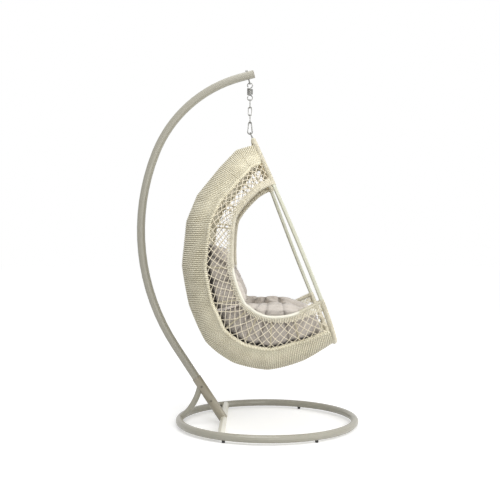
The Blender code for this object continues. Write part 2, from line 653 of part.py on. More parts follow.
# ---------------------------------------------------------------- the basket's surface
class Basket:
    """The egg's surface: t runs along the ribs from hoop to hoop, d from spine to rim."""

    def __init__(self, pivot):
        self.pivot = np.array(pivot, float)
        self.slope = unit((HOOP_LEAN, 0.0, -1.0))
        lift = math.sqrt(0.5)
        peak = max(self.hoop_shape(lift * k / 500 + 0.3) for k in range(500))
        self.hoop_scale = HOOP_HALF_WIDTH / peak
        top, foot = self.hoop(RIM_TOP_SHARE), self.hoop(RIM_FOOT_SHARE)
        apex, bottom = self.hoop(BAND_TOP_SHARE), self.hoop(1.0)
        spine = [apex[[0, 2]]]
        rim = [top[[0, 2]]]
        for (ahead, drop), (rim_ahead, rim_drop) in zip(RIB_SPINES, RIB_RIMS):
            spine.append(self.pivot[[0, 2]] + (ahead, -drop))
            rim.append(self.pivot[[0, 2]] + (rim_ahead, -rim_drop))
        self.spine = np.array(spine + [bottom[[0, 2]]])
        self.rim = np.array(rim + [foot[[0, 2]]])
        self.width = np.array([top[1], *RIB_HALF_WIDTHS, foot[1]])
        self.square = np.array([RIB_SQUARENESS[0], *RIB_SQUARENESS, RIB_SQUARENESS[-1]])
        self.last = len(self.spine) - 1
        self.hoop_line = np.array(self.hoop_points(240))
        self.set_edges()

    @staticmethod
    def hoop_shape(share):
        if not 0.0 < share < 1.0:
            return 0.0
        return math.sqrt(share * (share + HOOP_TIP_ROUNDING) * (1 - share))

    def hoop(self, share, side=1):
        """A point on the hoop's centreline, share of its height below its top."""
        fall = HOOP_TOP_DROP + HOOP_FALL * share
        return self.pivot + (
            HOOP_TOP_AHEAD + HOOP_LEAN * HOOP_FALL * share,
            side * self.hoop_scale * self.hoop_shape(share),
            -fall,
        )

    def hoop_points(self, steps):
        points = []
        for k in range(steps):
            turn = 2 * math.pi * (k + 0.5) / steps
            share = (1 - math.cos(turn)) / 2
            points.append(self.hoop(share, 1 if turn < math.pi else -1))
        return points

    def depth(self, t):
        return float(np.linalg.norm(self.rim_at(t) - straight(self.spine, t)))

    def rim_at(self, t):
        return catmull(self.rim, t)

    def width_at(self, t):
        return float(catmull(self.width[:, None], t)[0])

    def fullness(self, t, d):
        """The half width at depth d, as a part of that at the rim."""
        if d >= 1:
            return 1.0
        power = float(straight(self.square[:, None], t)[0])
        bow = (1 - (1 - max(d, 0.0)) ** power) ** (1 / power)
        top, foot = self.hoop(RIM_TOP_SHARE)[1], self.hoop(RIM_FOOT_SHARE)[1]
        share = BAND_TOP_SHARE + (RIM_TOP_SHARE - BAND_TOP_SHARE) * d
        above = self.hoop(share)[1] / top * min(1.0, d / 0.012)
        below = self.hoop(1 - (1 - RIM_FOOT_SHARE) * d)[1] / foot
        near_top = max(0.0, 1 - t / 1.6) ** 1.5
        near_foot = max(0.0, 1 - (self.last - t) / 1.4) ** 1.5
        return bow * (1 - near_top - near_foot) + above * near_top + below * near_foot

    def point(self, t, d, side=1, inset=0.0, from_spine=0.0):
        """inset draws the sides in, from_spine lifts the spine towards the rim."""
        spine, rim = straight(self.spine, t), self.rim_at(t)
        along = (rim - spine) / np.linalg.norm(rim - spine)
        spine = spine + along * from_spine
        flat = spine + (rim - spine) * d
        half = (self.width_at(t) - inset) * self.fullness(t, d)
        return np.array((flat[0], side * half, flat[1]))

    def set_edges(self):
        """Depth shares of the band's edge, the rail and the net's two edges, along t."""
        self.grid = np.linspace(0.0, self.last, 20 * self.last + 1)
        top = np.clip(1 - self.grid / 1.2, 0, 1) * (BAND_TOP_DEPTH - BAND_DEPTH)
        foot = np.clip(1 - (self.last - self.grid) / 1.2, 0, 1) * (BAND_FOOT_DEPTH - BAND_DEPTH)
        depths = np.array([self.depth(t) for t in self.grid])
        self.band_edge = (BAND_DEPTH + top + foot) / depths
        self.rail_edge = self.stand_off(self.band_edge, RAIL_TUBE / 2 + WEAVE_FIT, 1)
        self.net_first = self.stand_off(self.rail_edge, RAIL_TUBE / 2 + NET_FIT, 1)
        ones = np.ones_like(self.grid)
        self.net_last = self.stand_off(ones, RIM_TUBE / 2 + NET_FIT, -1)

    def stand_off(self, shares, clear, way):
        """The edge that keeps a distance clear from the edge at shares."""
        line = np.array([self.point(t, d) for t, d in zip(self.grid, shares)])
        kept = []
        for t, d in zip(self.grid, shares):
            while np.linalg.norm(line - self.point(t, d), axis=1).min() < clear:
                d += way * 0.001
            kept.append(d)
        return np.array(kept)

    def edge(self, table, t):
        return float(np.interp(t, self.grid, table))

    def inward(self, t, d, side=1):
        """The unit normal that points into the basket."""
        e = 1e-3
        t0, t1 = max(t - e, 0.0), min(t + e, float(self.last))
        along = self.point(t1, d, side) - self.point(t0, d, side)
        d0, d1 = max(d - e, 0.0), d + e
        across = self.point(t, d1, side) - self.point(t, d0, side)
        if d < 2 * e:
            across = np.array((0.0, 1.0, 0.0))
        normal = unit(np.cross(along, across))
        spine, rim = straight(self.spine, t), self.rim_at(t)
        heart = np.array((rim[0], 0.0, rim[1])) * 1.3 - np.array((spine[0], 0.0, spine[1])) * 0.3
        return normal if np.dot(normal, heart - self.point(t, d, side)) > 0 else -normal

    def off_hoop(self, p):
        return float(np.linalg.norm(self.hoop_line - p, axis=1).min())

    def reach(self, place, clear):
        """The range of t over which place(t) stays clear of the hoop's centreline."""
        low, high = 0.0, float(self.last)
        while self.off_hoop(place(low)) < clear:
            low += 0.01
        while self.off_hoop(place(high)) < clear:
            high -= 0.01
        return low, high


def bow_angle(k, count):
    """d for the k-th of count steps from the spine to the rim, close together at the spine."""
    return 1 - math.cos(math.pi / 2 * k / count) ** 0.8


def build_hoop(basket):
    tube("front_hoop", basket.hoop_points(HOOP_STEPS), HOOP_TUBE, 2, CREAM_COAT, cyclic=True)
    points = basket.hoop_points(HOOP_STEPS)
    return cutter(tube("hoop_tool", points, HOOP_TUBE + 2 * GAP, 2, cyclic=True))


def build_rim(basket, name, side, hoop_tool):
    times = np.linspace(0.0, basket.last, 40)
    points = [basket.point(t, 1.0, side) for t in times]
    rim = tube(name, points, RIM_TUBE, 2, CREAM_COAT)
    cut(rim, hoop_tool)


def build_rail(basket, name, side):
    def place(t):
        return basket.point(t, basket.edge(basket.rail_edge, t), side)

    low, high = basket.reach(place, HOOP_TUBE / 2 + RAIL_TUBE / 2 + GAP)
    points = [place(t) for t in np.linspace(low, high, 30)]
    tube(name, points, RAIL_TUBE, 1, CREAM_COAT)


def build_ribs(basket):
    offset = RAIL_TUBE / 2 + RIB_TUBE / 2 + RIB_FIT
    for number in range(1, basket.last):
        end = 1 - (RIM_TUBE / 2 + RIB_TUBE / 2 * 0.5) / basket.depth(number)
        half = []
        for k in range(8):
            d = end * bow_angle(k, 7) / bow_angle(7, 7)
            half.append(basket.point(number, d) + basket.inward(number, d) * offset)
        other = [np.array((p[0], -p[1], p[2])) for p in half[:0:-1]]
        tube("rib_%02d" % number, other + half, RIB_TUBE, 1, CREAM_COAT)


def build_band(basket):
    """The close-woven back: a shell that turns a corner at each rib, cut off at the hoop."""
    across = 6
    times = []
    for number in range(basket.last):
        times += [number, number + 0.5]
    times.append(basket.last)
    columns = []
    for k in range(-across, across + 1):
        side = -1 if k < 0 else 1

        def place(t, k=abs(k), side=side):
            share = bow_angle(k, across) / bow_angle(across, across)
            return basket.point(t, basket.edge(basket.band_edge, t) * share, side)

        clear = HOOP_TUBE / 2 + BAND_THICKNESS / 2 + 2 * WEAVE_FIT
        low, high = basket.reach(place, clear)
        kept = [t for t in times if low + 0.15 < t < high - 0.15]
        if k == -across:
            inner = [t for t in times if 0.9 < t < basket.last - 0.9]
        kept = [low, (low + inner[0]) / 2] + inner + [(high + inner[-1]) / 2, high]
        columns.append([place(t) for t in kept])
    bm = bmesh.new()
    rows = [[bm.verts.new(p) for p in column] for column in columns]
    for left, right in zip(rows, rows[1:]):
        for i in range(len(left) - 1):
            bm.faces.new((left[i], right[i], right[i + 1], left[i + 1]))
    band = add_object("back_band", mesh_from(bm, "back_band"), CREAM_ROPE, 30.0)
    thick = band.modifiers.new("weave", "SOLIDIFY")
    thick.thickness = BAND_THICKNESS
    thick.offset = 0.0
    thick.use_even_offset = True
    return band


def net_point_rows(basket, side):
    """Knots of the net: rows from the rail to the rim, each evenly spaced along its length."""
    rows = []
    for j in range(2 * NET_ROWS + 1):
        share = j / (2 * NET_ROWS)

        def place(t, share=share):
            first, last = basket.edge(basket.net_first, t), basket.edge(basket.net_last, t)
            return basket.point(t, first + (last - first) * share, side)

        clear = HOOP_TUBE / 2 + NET_FIT
        low, high = basket.reach(place, clear)
        fine = [place(t) for t in np.linspace(low, high, 300)]
        steps = np.linalg.norm(np.diff(fine, axis=0), axis=1)
        run = np.concatenate([[0], np.cumsum(steps)])
        at = np.interp(np.linspace(0, run[-1], 2 * NET_COLUMNS + 1), run, np.linspace(low, high, 300))
        rows.append([place(t) for t in at])
    return rows


def build_net(basket, name, side):
    """The open sides: strands crossing in diamonds, thickened into one flat net."""
    rows = net_point_rows(basket, side)
    high, wide = len(rows), len(rows[0])
    bm = bmesh.new()
    verts = {}

    def knot(i, j):
        if (i, j) not in verts:
            verts[i, j] = bm.verts.new(rows[j][i])
        return verts[i, j]

    for j in range(high):
        for i in range(wide):
            if (i + j) % 2 == 0:
                continue
            ring = [(i - 1, j), (i, j - 1), (i + 1, j), (i, j + 1)]
            ring = [(a, b) for a, b in ring if 0 <= a < wide and 0 <= b < high]
            if len(ring) > 2:
                bm.faces.new([knot(a, b) for a, b in ring])
    bmesh.ops.recalc_face_normals(bm, faces=bm.faces)
    cells = list(bm.faces)
    bmesh.ops.inset_individual(bm, faces=cells, thickness=NET_STRAND / 2, use_even_offset=True)
    knots = set(verts.values())
    border = [e for e in bm.edges if len(e.link_faces) == 1 and knots.issuperset(e.verts)]
    along_edge = {e.link_faces[0] for e in border}  # the strands end at the bars beside them
    bmesh.ops.delete(bm, geom=cells + list(along_edge), context="FACES")
    net = add_object(name, mesh_from(bm, name), CREAM_ROPE, 30.0)
    thick = net.modifiers.new("strand", "SOLIDIFY")
    thick.thickness = NET_THICKNESS
    thick.offset = 0.0
    return net


def build_hanging_loop(basket):
    """A bent rod on the hoop's top that the carabiner runs through."""
    up = -basket.slope
    top = basket.pivot + (0.0, 0.0, CARABINER_ROD / 2 + LOOP_ROD / 2 + LOOP_FIT)
    apex = basket.hoop(0.0)
    top[0] = apex[0] + up[0] * (top[2] - apex[2]) / up[2]
    centre = top - up * LOOP_HALF_WIDTH
    length = float(np.dot(centre - apex, up))
    points = [centre - up * length + (0.0, LOOP_HALF_WIDTH, 0.0)]
    for a in np.linspace(0.0, math.pi, 9):
        across = np.array((0.0, math.cos(a), 0.0))
        points.append(centre + LOOP_HALF_WIDTH * (across + up * math.sin(a)))
    points.append(centre - up * length - (0.0, LOOP_HALF_WIDTH, 0.0))
    return tube("hanging_loop", points, LOOP_ROD, 2, ZINC)


# ---------------------------------------------------------------- cushions
def dips(t, channels):
    return 1 - CHANNEL_DEPTH * sum(math.exp(-(((t - c) / 0.14) ** 2)) for c in channels)


def build_cushion(basket, name, first, last, thickness, wing, channels, steps):
    """A crowned pad that follows the trough, its edges drawn in and its sides standing up."""
    bm = bmesh.new()
    rings = []
    for t in np.linspace(first, last, steps + 1):
        along = 2 * (t - first) / (last - first) - 1
        crown = max(0.0, 1 - abs(along) ** 5) ** 0.5
        swell = 0.32 + 0.68 * crown
        draw_in = (1 - swell) * thickness / 2
        full = thickness * swell * dips(t, channels)
        side_full = WING_THICKNESS * swell * (0.6 + 0.4 * dips(t, channels))
        depth = basket.depth(t)
        stands = wing(basket, t) - (1 - swell) * 0.03
        low = CUSHION_CLEAR + draw_in
        top = (depth + stands - side_full / 2) / depth
        outer = [
            basket_cushion_point(basket, t, top * bow_angle(k, 8), low, low) for k in range(9)
        ]
        crest = []
        for a in np.radians((30.0, 90.0, 150.0)):
            d = top + math.sin(a) * side_full / 2 / depth
            inset = low + side_full / 2 * (1 - math.cos(a))
            crest.append(basket_cushion_point(basket, t, d, inset, low, full_side=True))
        lift = low + full
        inner = []
        for k in range(7, -1, -1):
            d = top * bow_angle(k, 7)
            inner.append(basket_cushion_point(basket, t, d, low + side_full, lift, 1.18))
        half = outer + crest + inner
        other = [np.array((p[0], -p[1], p[2])) for p in half[1:-1]][::-1]
        rings.append([bm.verts.new(p) for p in half + other])
    for a, b in zip(rings, rings[1:]):
        for i in range(len(a)):
            j = (i + 1) % len(a)
            bm.faces.new((a[i], a[j], b[j], b[i]))
    bm.faces.new(rings[0][::-1])
    bm.faces.new(rings[-1])
    return add_object(name, mesh_from(bm, name), LINEN, 60.0)


def basket_cushion_point(basket, t, d, inset, lift, hollow=1.0, full_side=False):
    """A point of a cushion's skin: inset from the sides and lifted off the spine."""
    spine, rim = straight(basket.spine, t), basket.rim_at(t)
    depth = float(np.linalg.norm(rim - spine))
    along = (rim - spine) / depth
    flat = spine + along * (lift + (depth - lift) * min(d, 1.0) + depth * max(0.0, d - 1.0))
    share = 1.0 if full_side else basket.fullness(t, d) ** hollow
    return np.array((flat[0], (basket.width_at(t) - inset) * share, flat[1]))


def seat_wing(basket, t):
    """The seat's sides rise to one level, which bridges the rims' dip."""
    rim, spine = basket.rim_at(t), straight(basket.spine, t)
    upward = (rim - spine)[1] / float(np.linalg.norm(rim - spine))
    level = basket.pivot[2] - SEAT_SIDE_DROP - 0.022 * max(0.0, t - 9.5) ** 2
    return float(np.clip((level - rim[1]) / upward, -0.035, SEAT_WING_MOST))


def back_wing(basket, t):
    """The back's sides come forward past the rims below its shoulders."""
    rise = min(1.0, max(0.0, (t - 4.5) / 0.8))
    return BACK_WING * (2.2 * rise - 1.2)


# ---------------------------------------------------------------- assembly
def hold(empty_name, place, names):
    """Parents the named pieces to an empty that stands on their joint's axis."""
    axis = bpy.data.objects.new(empty_name, None)
    axis.location = place
    axis.empty_display_size = 0.05
    bpy.context.scene.collection.objects.link(axis)
    bpy.context.view_layer.update()
    for name in names:
        obj = bpy.data.objects[name]
        obj.parent = axis
        obj.matrix_parent_inverse = axis.matrix_world.inverted()
    return axis


def build():
    clear_scene()
    ring = build_ring()
    build_socket(ring)
    build_pole()
    eye_bar = build_eye_bolt()
    hook_low = build_spring(eye_bar)
    link_top = hook_low + SPRING_WIRE / 2 + LINK_ROD / 2 + GAP
    tops = [link_top]
    for name, side_on in (
        ("chain_link_upper", True), ("chain_link_middle", False), ("chain_link_lower", True)
    ):
        low = build_link(name, tops[-1], side_on)
        tops.append(low + LINK_ROD + LINK_FIT)
    last_low = tops[-1] - LINK_ROD - LINK_FIT
    carabiner_top = last_low + LINK_ROD / 2 + CARABINER_ROD / 2 + GAP
    pin, pivot_z = build_carabiner(carabiner_top)
    basket = Basket((HANG_X, 0.0, pivot_z))
    hoop_tool = build_hoop(basket)
    cut(build_hanging_loop(basket), hoop_tool)
    for name, side in (("rim_left", 1), ("rim_right", -1)):
        build_rim(basket, name, side, hoop_tool)
    for name, side in (("edge_rail_left", 1), ("edge_rail_right", -1)):
        build_rail(basket, name, side)
    build_ribs(basket)
    build_band(basket)
    for name, side in (("side_net_left", 1), ("side_net_right", -1)):
        build_net(basket, name, side)
    build_cushion(
        basket, "seat_cushion", SEAT_FROM, SEAT_TO, SEAT_THICKNESS, seat_wing,
        SEAT_CHANNELS, 20,
    )
    build_cushion(
        basket, "back_cushion", BACK_FROM, BACK_TO, BACK_THICKNESS, back_wing,
        BACK_CHANNELS, 11,
    )
    bpy.context.view_layer.update()
    print("hang line x %.4f, eye bar z %.4f" % (HANG_X, eye_bar.z))
    print("hook low %.4f, link tops %s" % (hook_low, ["%.4f" % v for v in tops]))
    print("carabiner top %.4f, gate pin %.4f %.4f, basket pivot z %.4f" % (
        carabiner_top, pin.x, pin.z, pivot_z))
    hold("spring_axis", eye_bar, ["hook_spring"])
    hold("upper_link_axis", (HANG_X, 0, tops[0]), ["chain_link_upper"])
    hold("middle_link_axis", (HANG_X, 0, tops[1]), ["chain_link_middle"])
    hold("lower_link_axis", (HANG_X, 0, tops[2]), ["chain_link_lower"])
    hold("carabiner_axis", (HANG_X, 0, last_low), ["carabiner_body", "carabiner_gate_pin"])
    hold("gate_axis", pin, ["carabiner_gate"])
    in_basket = [
        o.name for o in bpy.data.objects
        if o.type == "MESH" and not o.hide_render
        and o.name.startswith(("front_hoop", "hanging_loop", "rim_", "edge_rail", "rib_",
                               "back_", "side_net", "seat_"))
    ]
    hold("basket_axis", (HANG_X, 0, pivot_z), in_basket)


build()
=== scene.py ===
# %% [markdown]
# # A hanging egg chair
# A rope basket with two tufted cushions hangs by a spring and a short chain from a bent steel
# pole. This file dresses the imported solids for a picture: the solids give every place and size,
# and each cell adds one real thing, such as the bent tube, the rope, the net or the padding.
# All lengths are metres, +X points out of the chair's open front and +Z points up.

# %% The frame
import json
import math

import bmesh
import bpy
import numpy as np
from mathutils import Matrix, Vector
from mathutils import noise as mathnoise


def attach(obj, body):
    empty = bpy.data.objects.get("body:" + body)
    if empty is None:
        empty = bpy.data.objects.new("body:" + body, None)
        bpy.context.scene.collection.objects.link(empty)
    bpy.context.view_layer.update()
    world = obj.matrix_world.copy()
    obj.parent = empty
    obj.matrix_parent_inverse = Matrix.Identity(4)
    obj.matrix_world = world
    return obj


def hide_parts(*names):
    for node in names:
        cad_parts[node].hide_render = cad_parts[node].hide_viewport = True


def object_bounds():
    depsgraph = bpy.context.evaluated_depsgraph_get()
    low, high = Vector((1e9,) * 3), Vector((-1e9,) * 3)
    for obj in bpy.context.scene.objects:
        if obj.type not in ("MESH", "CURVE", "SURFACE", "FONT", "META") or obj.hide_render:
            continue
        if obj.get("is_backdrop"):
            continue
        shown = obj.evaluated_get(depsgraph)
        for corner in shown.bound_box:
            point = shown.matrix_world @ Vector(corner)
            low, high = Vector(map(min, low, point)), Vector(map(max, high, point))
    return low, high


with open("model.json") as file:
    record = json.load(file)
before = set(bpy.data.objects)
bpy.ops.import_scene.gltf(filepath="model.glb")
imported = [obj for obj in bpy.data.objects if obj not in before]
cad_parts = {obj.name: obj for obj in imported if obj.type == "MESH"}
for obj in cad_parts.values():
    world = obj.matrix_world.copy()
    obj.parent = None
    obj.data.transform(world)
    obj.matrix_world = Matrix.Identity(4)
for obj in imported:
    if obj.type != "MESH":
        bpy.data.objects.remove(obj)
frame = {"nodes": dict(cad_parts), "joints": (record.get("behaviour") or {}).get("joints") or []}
cad_low, cad_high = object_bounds()
joints = {j["name"]: j for j in frame["joints"]}
pivot = np.array(joints["basket_roll"]["pos_m"], float)
hang_x = float(pivot[0])
print("basket hangs at", pivot.round(4).tolist())

# %% [markdown]
# ## Camera
# The photograph was taken level with the chair's middle and square to its side. A long lens
# keeps the ring's near and far edges close in size, so the lens is a little longer than normal.

# %% Camera
LENS_MM, SENSOR_MM = 58.03, 36.0
CAMERA_DISTANCE, CAMERA_HEIGHT = 4.4345, 0.9594

camera_data = bpy.data.cameras.new("side_camera")
camera_data.lens, camera_data.sensor_width = LENS_MM, SENSOR_MM
camera = bpy.data.objects.new("side_camera", camera_data)
camera.location = (hang_x, -CAMERA_DISTANCE, CAMERA_HEIGHT)
camera.rotation_euler = (math.radians(90), 0, 0)
bpy.context.scene.collection.objects.link(camera)
bpy.context.scene.camera = camera
bpy.context.scene.view_settings.view_transform = "Standard"

# %% [markdown]
# ## Helpers for materials
# A material is a small network of nodes. Two helpers keep the cells short: one adds a node
# with its inputs, the other adds a sum. Effects that several materials share are node groups.


# %% Node helpers
def node(tree, kind, inputs=None, **settings):
    """Adds a node. Inputs that are sockets are linked, and others are set as values."""
    made = tree.nodes.new(kind)
    for key, value in settings.items():
        setattr(made, key, value)
    for key, value in (inputs or {}).items():
        if isinstance(value, bpy.types.NodeSocket):
            tree.links.new(value, made.inputs[key])
        else:
            made.inputs[key].default_value = value
    return made


def calc(tree, operation, a, b=0.0, c=0.0):
    """One sum of a Math node."""
    return node(tree, "ShaderNodeMath", {0: a, 1: b, 2: c}, operation=operation).outputs[0]


def mix(tree, share, a, b):
    """Goes from colour a to colour b as share goes from 0 to 1."""
    return node(tree, "ShaderNodeMix", {0: share, 6: a, 7: b}, data_type="RGBA").outputs[2]


def noise(tree, where, scale, detail=2.0, roughness=0.5):
    inputs = {"Vector": where, "Scale": scale, "Detail": detail, "Roughness": roughness}
    return node(tree, "ShaderNodeTexNoise", inputs).outputs["Fac"]


def remap(tree, value, low, high, to_low=0.0, to_high=1.0):
    inputs = {"Value": value, 1: low, 2: high, 3: to_low, 4: to_high}
    return node(tree, "ShaderNodeMapRange", inputs).outputs["Result"]


def new_group(name, inputs, outputs):
    """A shader node group with named sockets, each input a number or a colour."""
    tree = bpy.data.node_groups.new(name, "ShaderNodeTree")
    for label, value in inputs.items():
        kind = "NodeSocketFloat" if isinstance(value, float) else "NodeSocketColor"
        kind = "NodeSocketVector" if value is None else kind
        socket = tree.interface.new_socket(label, in_out="INPUT", socket_type=kind)
        if value is not None:
            socket.default_value = value
    for label in outputs:
        kind = "NodeSocketColor" if label == "Colour" else "NodeSocketFloat"
        tree.interface.new_socket(label, in_out="OUTPUT", socket_type=kind)
    return tree, tree.nodes.new("NodeGroupInput"), tree.nodes.new("NodeGroupOutput")


def use_group(tree, group, inputs):
    return node(tree, "ShaderNodeGroup", inputs, node_tree=group).outputs


def object_place(tree):
    """Where a point is on its own object, in metres."""
    return node(tree, "ShaderNodeTexCoord").outputs["Object"]


def facing_axes(tree):
    """The X, Y and Z parts of the surface's direction."""
    normal = node(tree, "ShaderNodeNewGeometry").outputs["Normal"]
    return node(tree, "ShaderNodeSeparateXYZ", {0: normal}).outputs


def new_material(name, roughness=0.5, metallic=0.0, **extra):
    """A material with its Principled shader, whose constant values are set on its sockets."""
    made = bpy.data.materials.new(name)
    made.use_nodes = True
    shader = made.node_tree.nodes["Principled BSDF"]
    shader.inputs["Roughness"].default_value = roughness
    shader.inputs["Metallic"].default_value = metallic
    for key, value in extra.items():
        shader.inputs[key.replace("_", " ")].default_value = value
    return made, made.node_tree, shader


def bump(tree, shader, height, distance):
    inputs = {"Height": height, "Distance": distance, "Strength": 1.0}
    made = node(tree, "ShaderNodeBump", inputs)
    tree.links.new(made.outputs["Normal"], shader.inputs["Normal"])


def rgb(red, green, blue):
    """A colour as it looks on a screen, from 0 to 255, as the shader's linear value."""
    return tuple(((v / 255 + 0.055) / 1.055) ** 2.4 for v in (red, green, blue)) + (1.0,)


# %% [markdown]
# ## Shared surface effects
# Powder coat is sprayed and baked, so it has a fine ripple like orange peel and small specks.
# Twisted cord shows slanting strands, with painted shade in the valleys and knob pits.
# Linen is a plain weave of uneven yarn.
# Each is one group, placed in every material that needs it with that material's own values.

# %% Powder coat group
COAT_RIPPLE = 0.00003

coat_group, gin, gout = new_group(
    "powder_coat_skin",
    {"Base": rgb(180, 172, 160), "Worn": rgb(150, 140, 125), "Ripple": 700.0, "Dust": 0.1},
    ("Colour", "Roughness", "Height"),
)
tree = coat_group
place = object_place(tree)
ripple = noise(tree, place, gin.outputs["Ripple"], 1.0)
clouds = noise(tree, place, 5.0, 3.0)
speck = remap(tree, noise(tree, place, 1500.0, 0.0), 0.70, 0.78)
up = facing_axes(tree)["Z"]
settled = calc(tree, "MULTIPLY", remap(tree, up, 0.3, 1.0), gin.outputs["Dust"])
patches = remap(tree, noise(tree, place, 40.0, 4.0), 0.35, 0.7)
settled = calc(tree, "MULTIPLY", settled, patches)
wear = remap(tree, clouds, 0.3, 0.7, 0.0, 0.35)
tone = mix(tree, wear, gin.outputs["Base"], gin.outputs["Worn"])
tone = mix(tree, calc(tree, "MULTIPLY", speck, 0.15), tone, gin.outputs["Worn"])
tone = mix(tree, settled, tone, rgb(214, 208, 198))
tree.links.new(tone, gout.inputs["Colour"])
rough = remap(tree, clouds, 0.3, 0.7, 0.30, 0.40)
rough = calc(tree, "ADD", rough, calc(tree, "MULTIPLY", settled, 0.4))
tree.links.new(rough, gout.inputs["Roughness"])
tree.links.new(ripple, gout.inputs["Height"])


def coat_material(name, base, worn, dust=0.1, gloss=0.35):
    made, tree, shader = new_material(name, Coat_Weight=gloss, Coat_Roughness=0.2)
    skin = use_group(tree, coat_group, {"Base": base, "Worn": worn, "Dust": dust})
    tree.links.new(skin["Colour"], shader.inputs["Base Color"])
    tree.links.new(skin["Roughness"], shader.inputs["Roughness"])
    bump(tree, shader, skin["Height"], COAT_RIPPLE)
    return made


greige_coat = coat_material(
    "greige_powder_coat", rgb(155, 152, 139), rgb(144, 140, 126), 0.12, 0.25
)
brown_coat = coat_material("brown_powder_coat", rgb(152, 145, 127), rgb(138, 130, 112), 0.12)
pale_coat = coat_material("pale_powder_coat", rgb(230, 227, 212), rgb(214, 210, 194), 0.15)
ivory_coat = coat_material("ivory_powder_coat", rgb(190, 190, 172), rgb(174, 172, 151), 0.1, 0.4)
rim_coat = coat_material("rim_powder_coat", rgb(216, 213, 198), rgb(200, 196, 178), 0.1, 0.4)
# The ribs' and edge rails' coat is the cream coat with painted shade, darker because they lie in
# shade behind the net.
shaded_rib_coat = coat_material("rib_powder_coat", rgb(186, 178, 154), rgb(166, 156, 130), 0.1)

# %% Rope group, on a UV map that runs in metres along the cord and once round it
KNOB_PITCH, STRAND_DEPTH = 0.026, 0.0006

rope_group, gin, gout = new_group(
    "twisted_cord",
    {"UV": None, "Light": rgb(226, 219, 198), "Dark": rgb(170, 158, 128), "Lay": 0.012,
     "Strands": 3.0, "Knob": 0.0},
    ("Colour", "Height", "Roughness"),
)
tree = rope_group
split = node(tree, "ShaderNodeSeparateXYZ", {0: gin.outputs["UV"]})
along, around = split.outputs["X"], split.outputs["Y"]
turns = calc(tree, "DIVIDE", along, gin.outputs["Lay"])
lanes = calc(tree, "MULTIPLY", around, gin.outputs["Strands"])
phase = calc(tree, "ADD", lanes, turns)
wave = calc(tree, "SINE", calc(tree, "MULTIPLY", phase, math.pi))
strand = calc(tree, "POWER", calc(tree, "ABSOLUTE", wave), 0.55)
knob = calc(tree, "SINE", calc(tree, "MULTIPLY", along, 2 * math.pi / KNOB_PITCH))
knob = remap(tree, knob, 0.2, 1.0)
pits = calc(tree, "MULTIPLY", knob, gin.outputs["Knob"])
place = object_place(tree)
fibre = noise(tree, place, 900.0, 3.0, 0.7)
patch = noise(tree, place, 14.0, 4.0, 0.6)
# Painted shade: the Dark colour fills the valleys between strands, and the knob pits darken the
# colour further.
shade = calc(tree, "MULTIPLY", strand, remap(tree, fibre, 0.2, 0.8, 0.75, 1.0))
shade = calc(tree, "SUBTRACT", shade, calc(tree, "MULTIPLY", pits, 0.5))
shade = calc(tree, "ADD", shade, remap(tree, patch, 0.3, 0.7, -0.16, 0.16))
tone = mix(tree, remap(tree, shade, 0.15, 1.0), gin.outputs["Dark"], gin.outputs["Light"])
tree.links.new(tone, gout.inputs["Colour"])
height = calc(tree, "SUBTRACT", calc(tree, "MULTIPLY_ADD", fibre, 0.25, strand), pits)
tree.links.new(height, gout.inputs["Height"])
tree.links.new(remap(tree, fibre, 0.2, 0.8, 0.75, 0.95), gout.inputs["Roughness"])


def rope_material(name, light, dark, lay=0.012, knob=0.0):
    made, tree, shader = new_material(name, Sheen_Weight=0.25, Sheen_Roughness=0.5)
    uv = node(tree, "ShaderNodeUVMap", uv_map="cord").outputs["UV"]
    inputs = {"UV": uv, "Light": light, "Dark": dark, "Lay": lay, "Knob": knob}
    cord = use_group(tree, rope_group, inputs)
    tree.links.new(cord["Colour"], shader.inputs["Base Color"])
    tree.links.new(cord["Roughness"], shader.inputs["Roughness"])
    bump(tree, shader, cord["Height"], STRAND_DEPTH)
    return made


def paint_shade_outside(material, colour):
    """Keeps the rope's colour only where the mesh says that it faces the seat, and paints the given
    colour elsewhere as painted shade.
    """
    tree = material.node_tree
    shader = tree.nodes["Principled BSDF"]
    inside = node(tree, "ShaderNodeAttribute", attribute_name="inner_face").outputs["Fac"]
    tone = mix(tree, inside, colour, shader.inputs["Base Color"].links[0].from_socket)
    tree.links.new(tone, shader.inputs["Base Color"])


weave_rope = rope_material("weave_rope", rgb(241, 236, 214), rgb(178, 168, 138), 0.016, 0.45)
shade_rope = rope_material("weave_backing_rope", rgb(246, 242, 222), rgb(180, 171, 142), 0.016, 0.45)
# The backing's outside is painted shade, so that the gaps between the courses look shaded.
paint_shade_outside(shade_rope, rgb(130, 120, 92))
net_rope = rope_material("net_rope", rgb(238, 230, 210), rgb(198, 184, 154), 0.010)
wrap_rope = rope_material("wrap_rope", rgb(236, 231, 213), rgb(188, 177, 148))
lacing_rope = rope_material("lacing_rope", rgb(208, 194, 160), rgb(140, 122, 88))

# %% Linen group, a plain weave seen from each of the three directions
YARN_WANDER = 0.0022

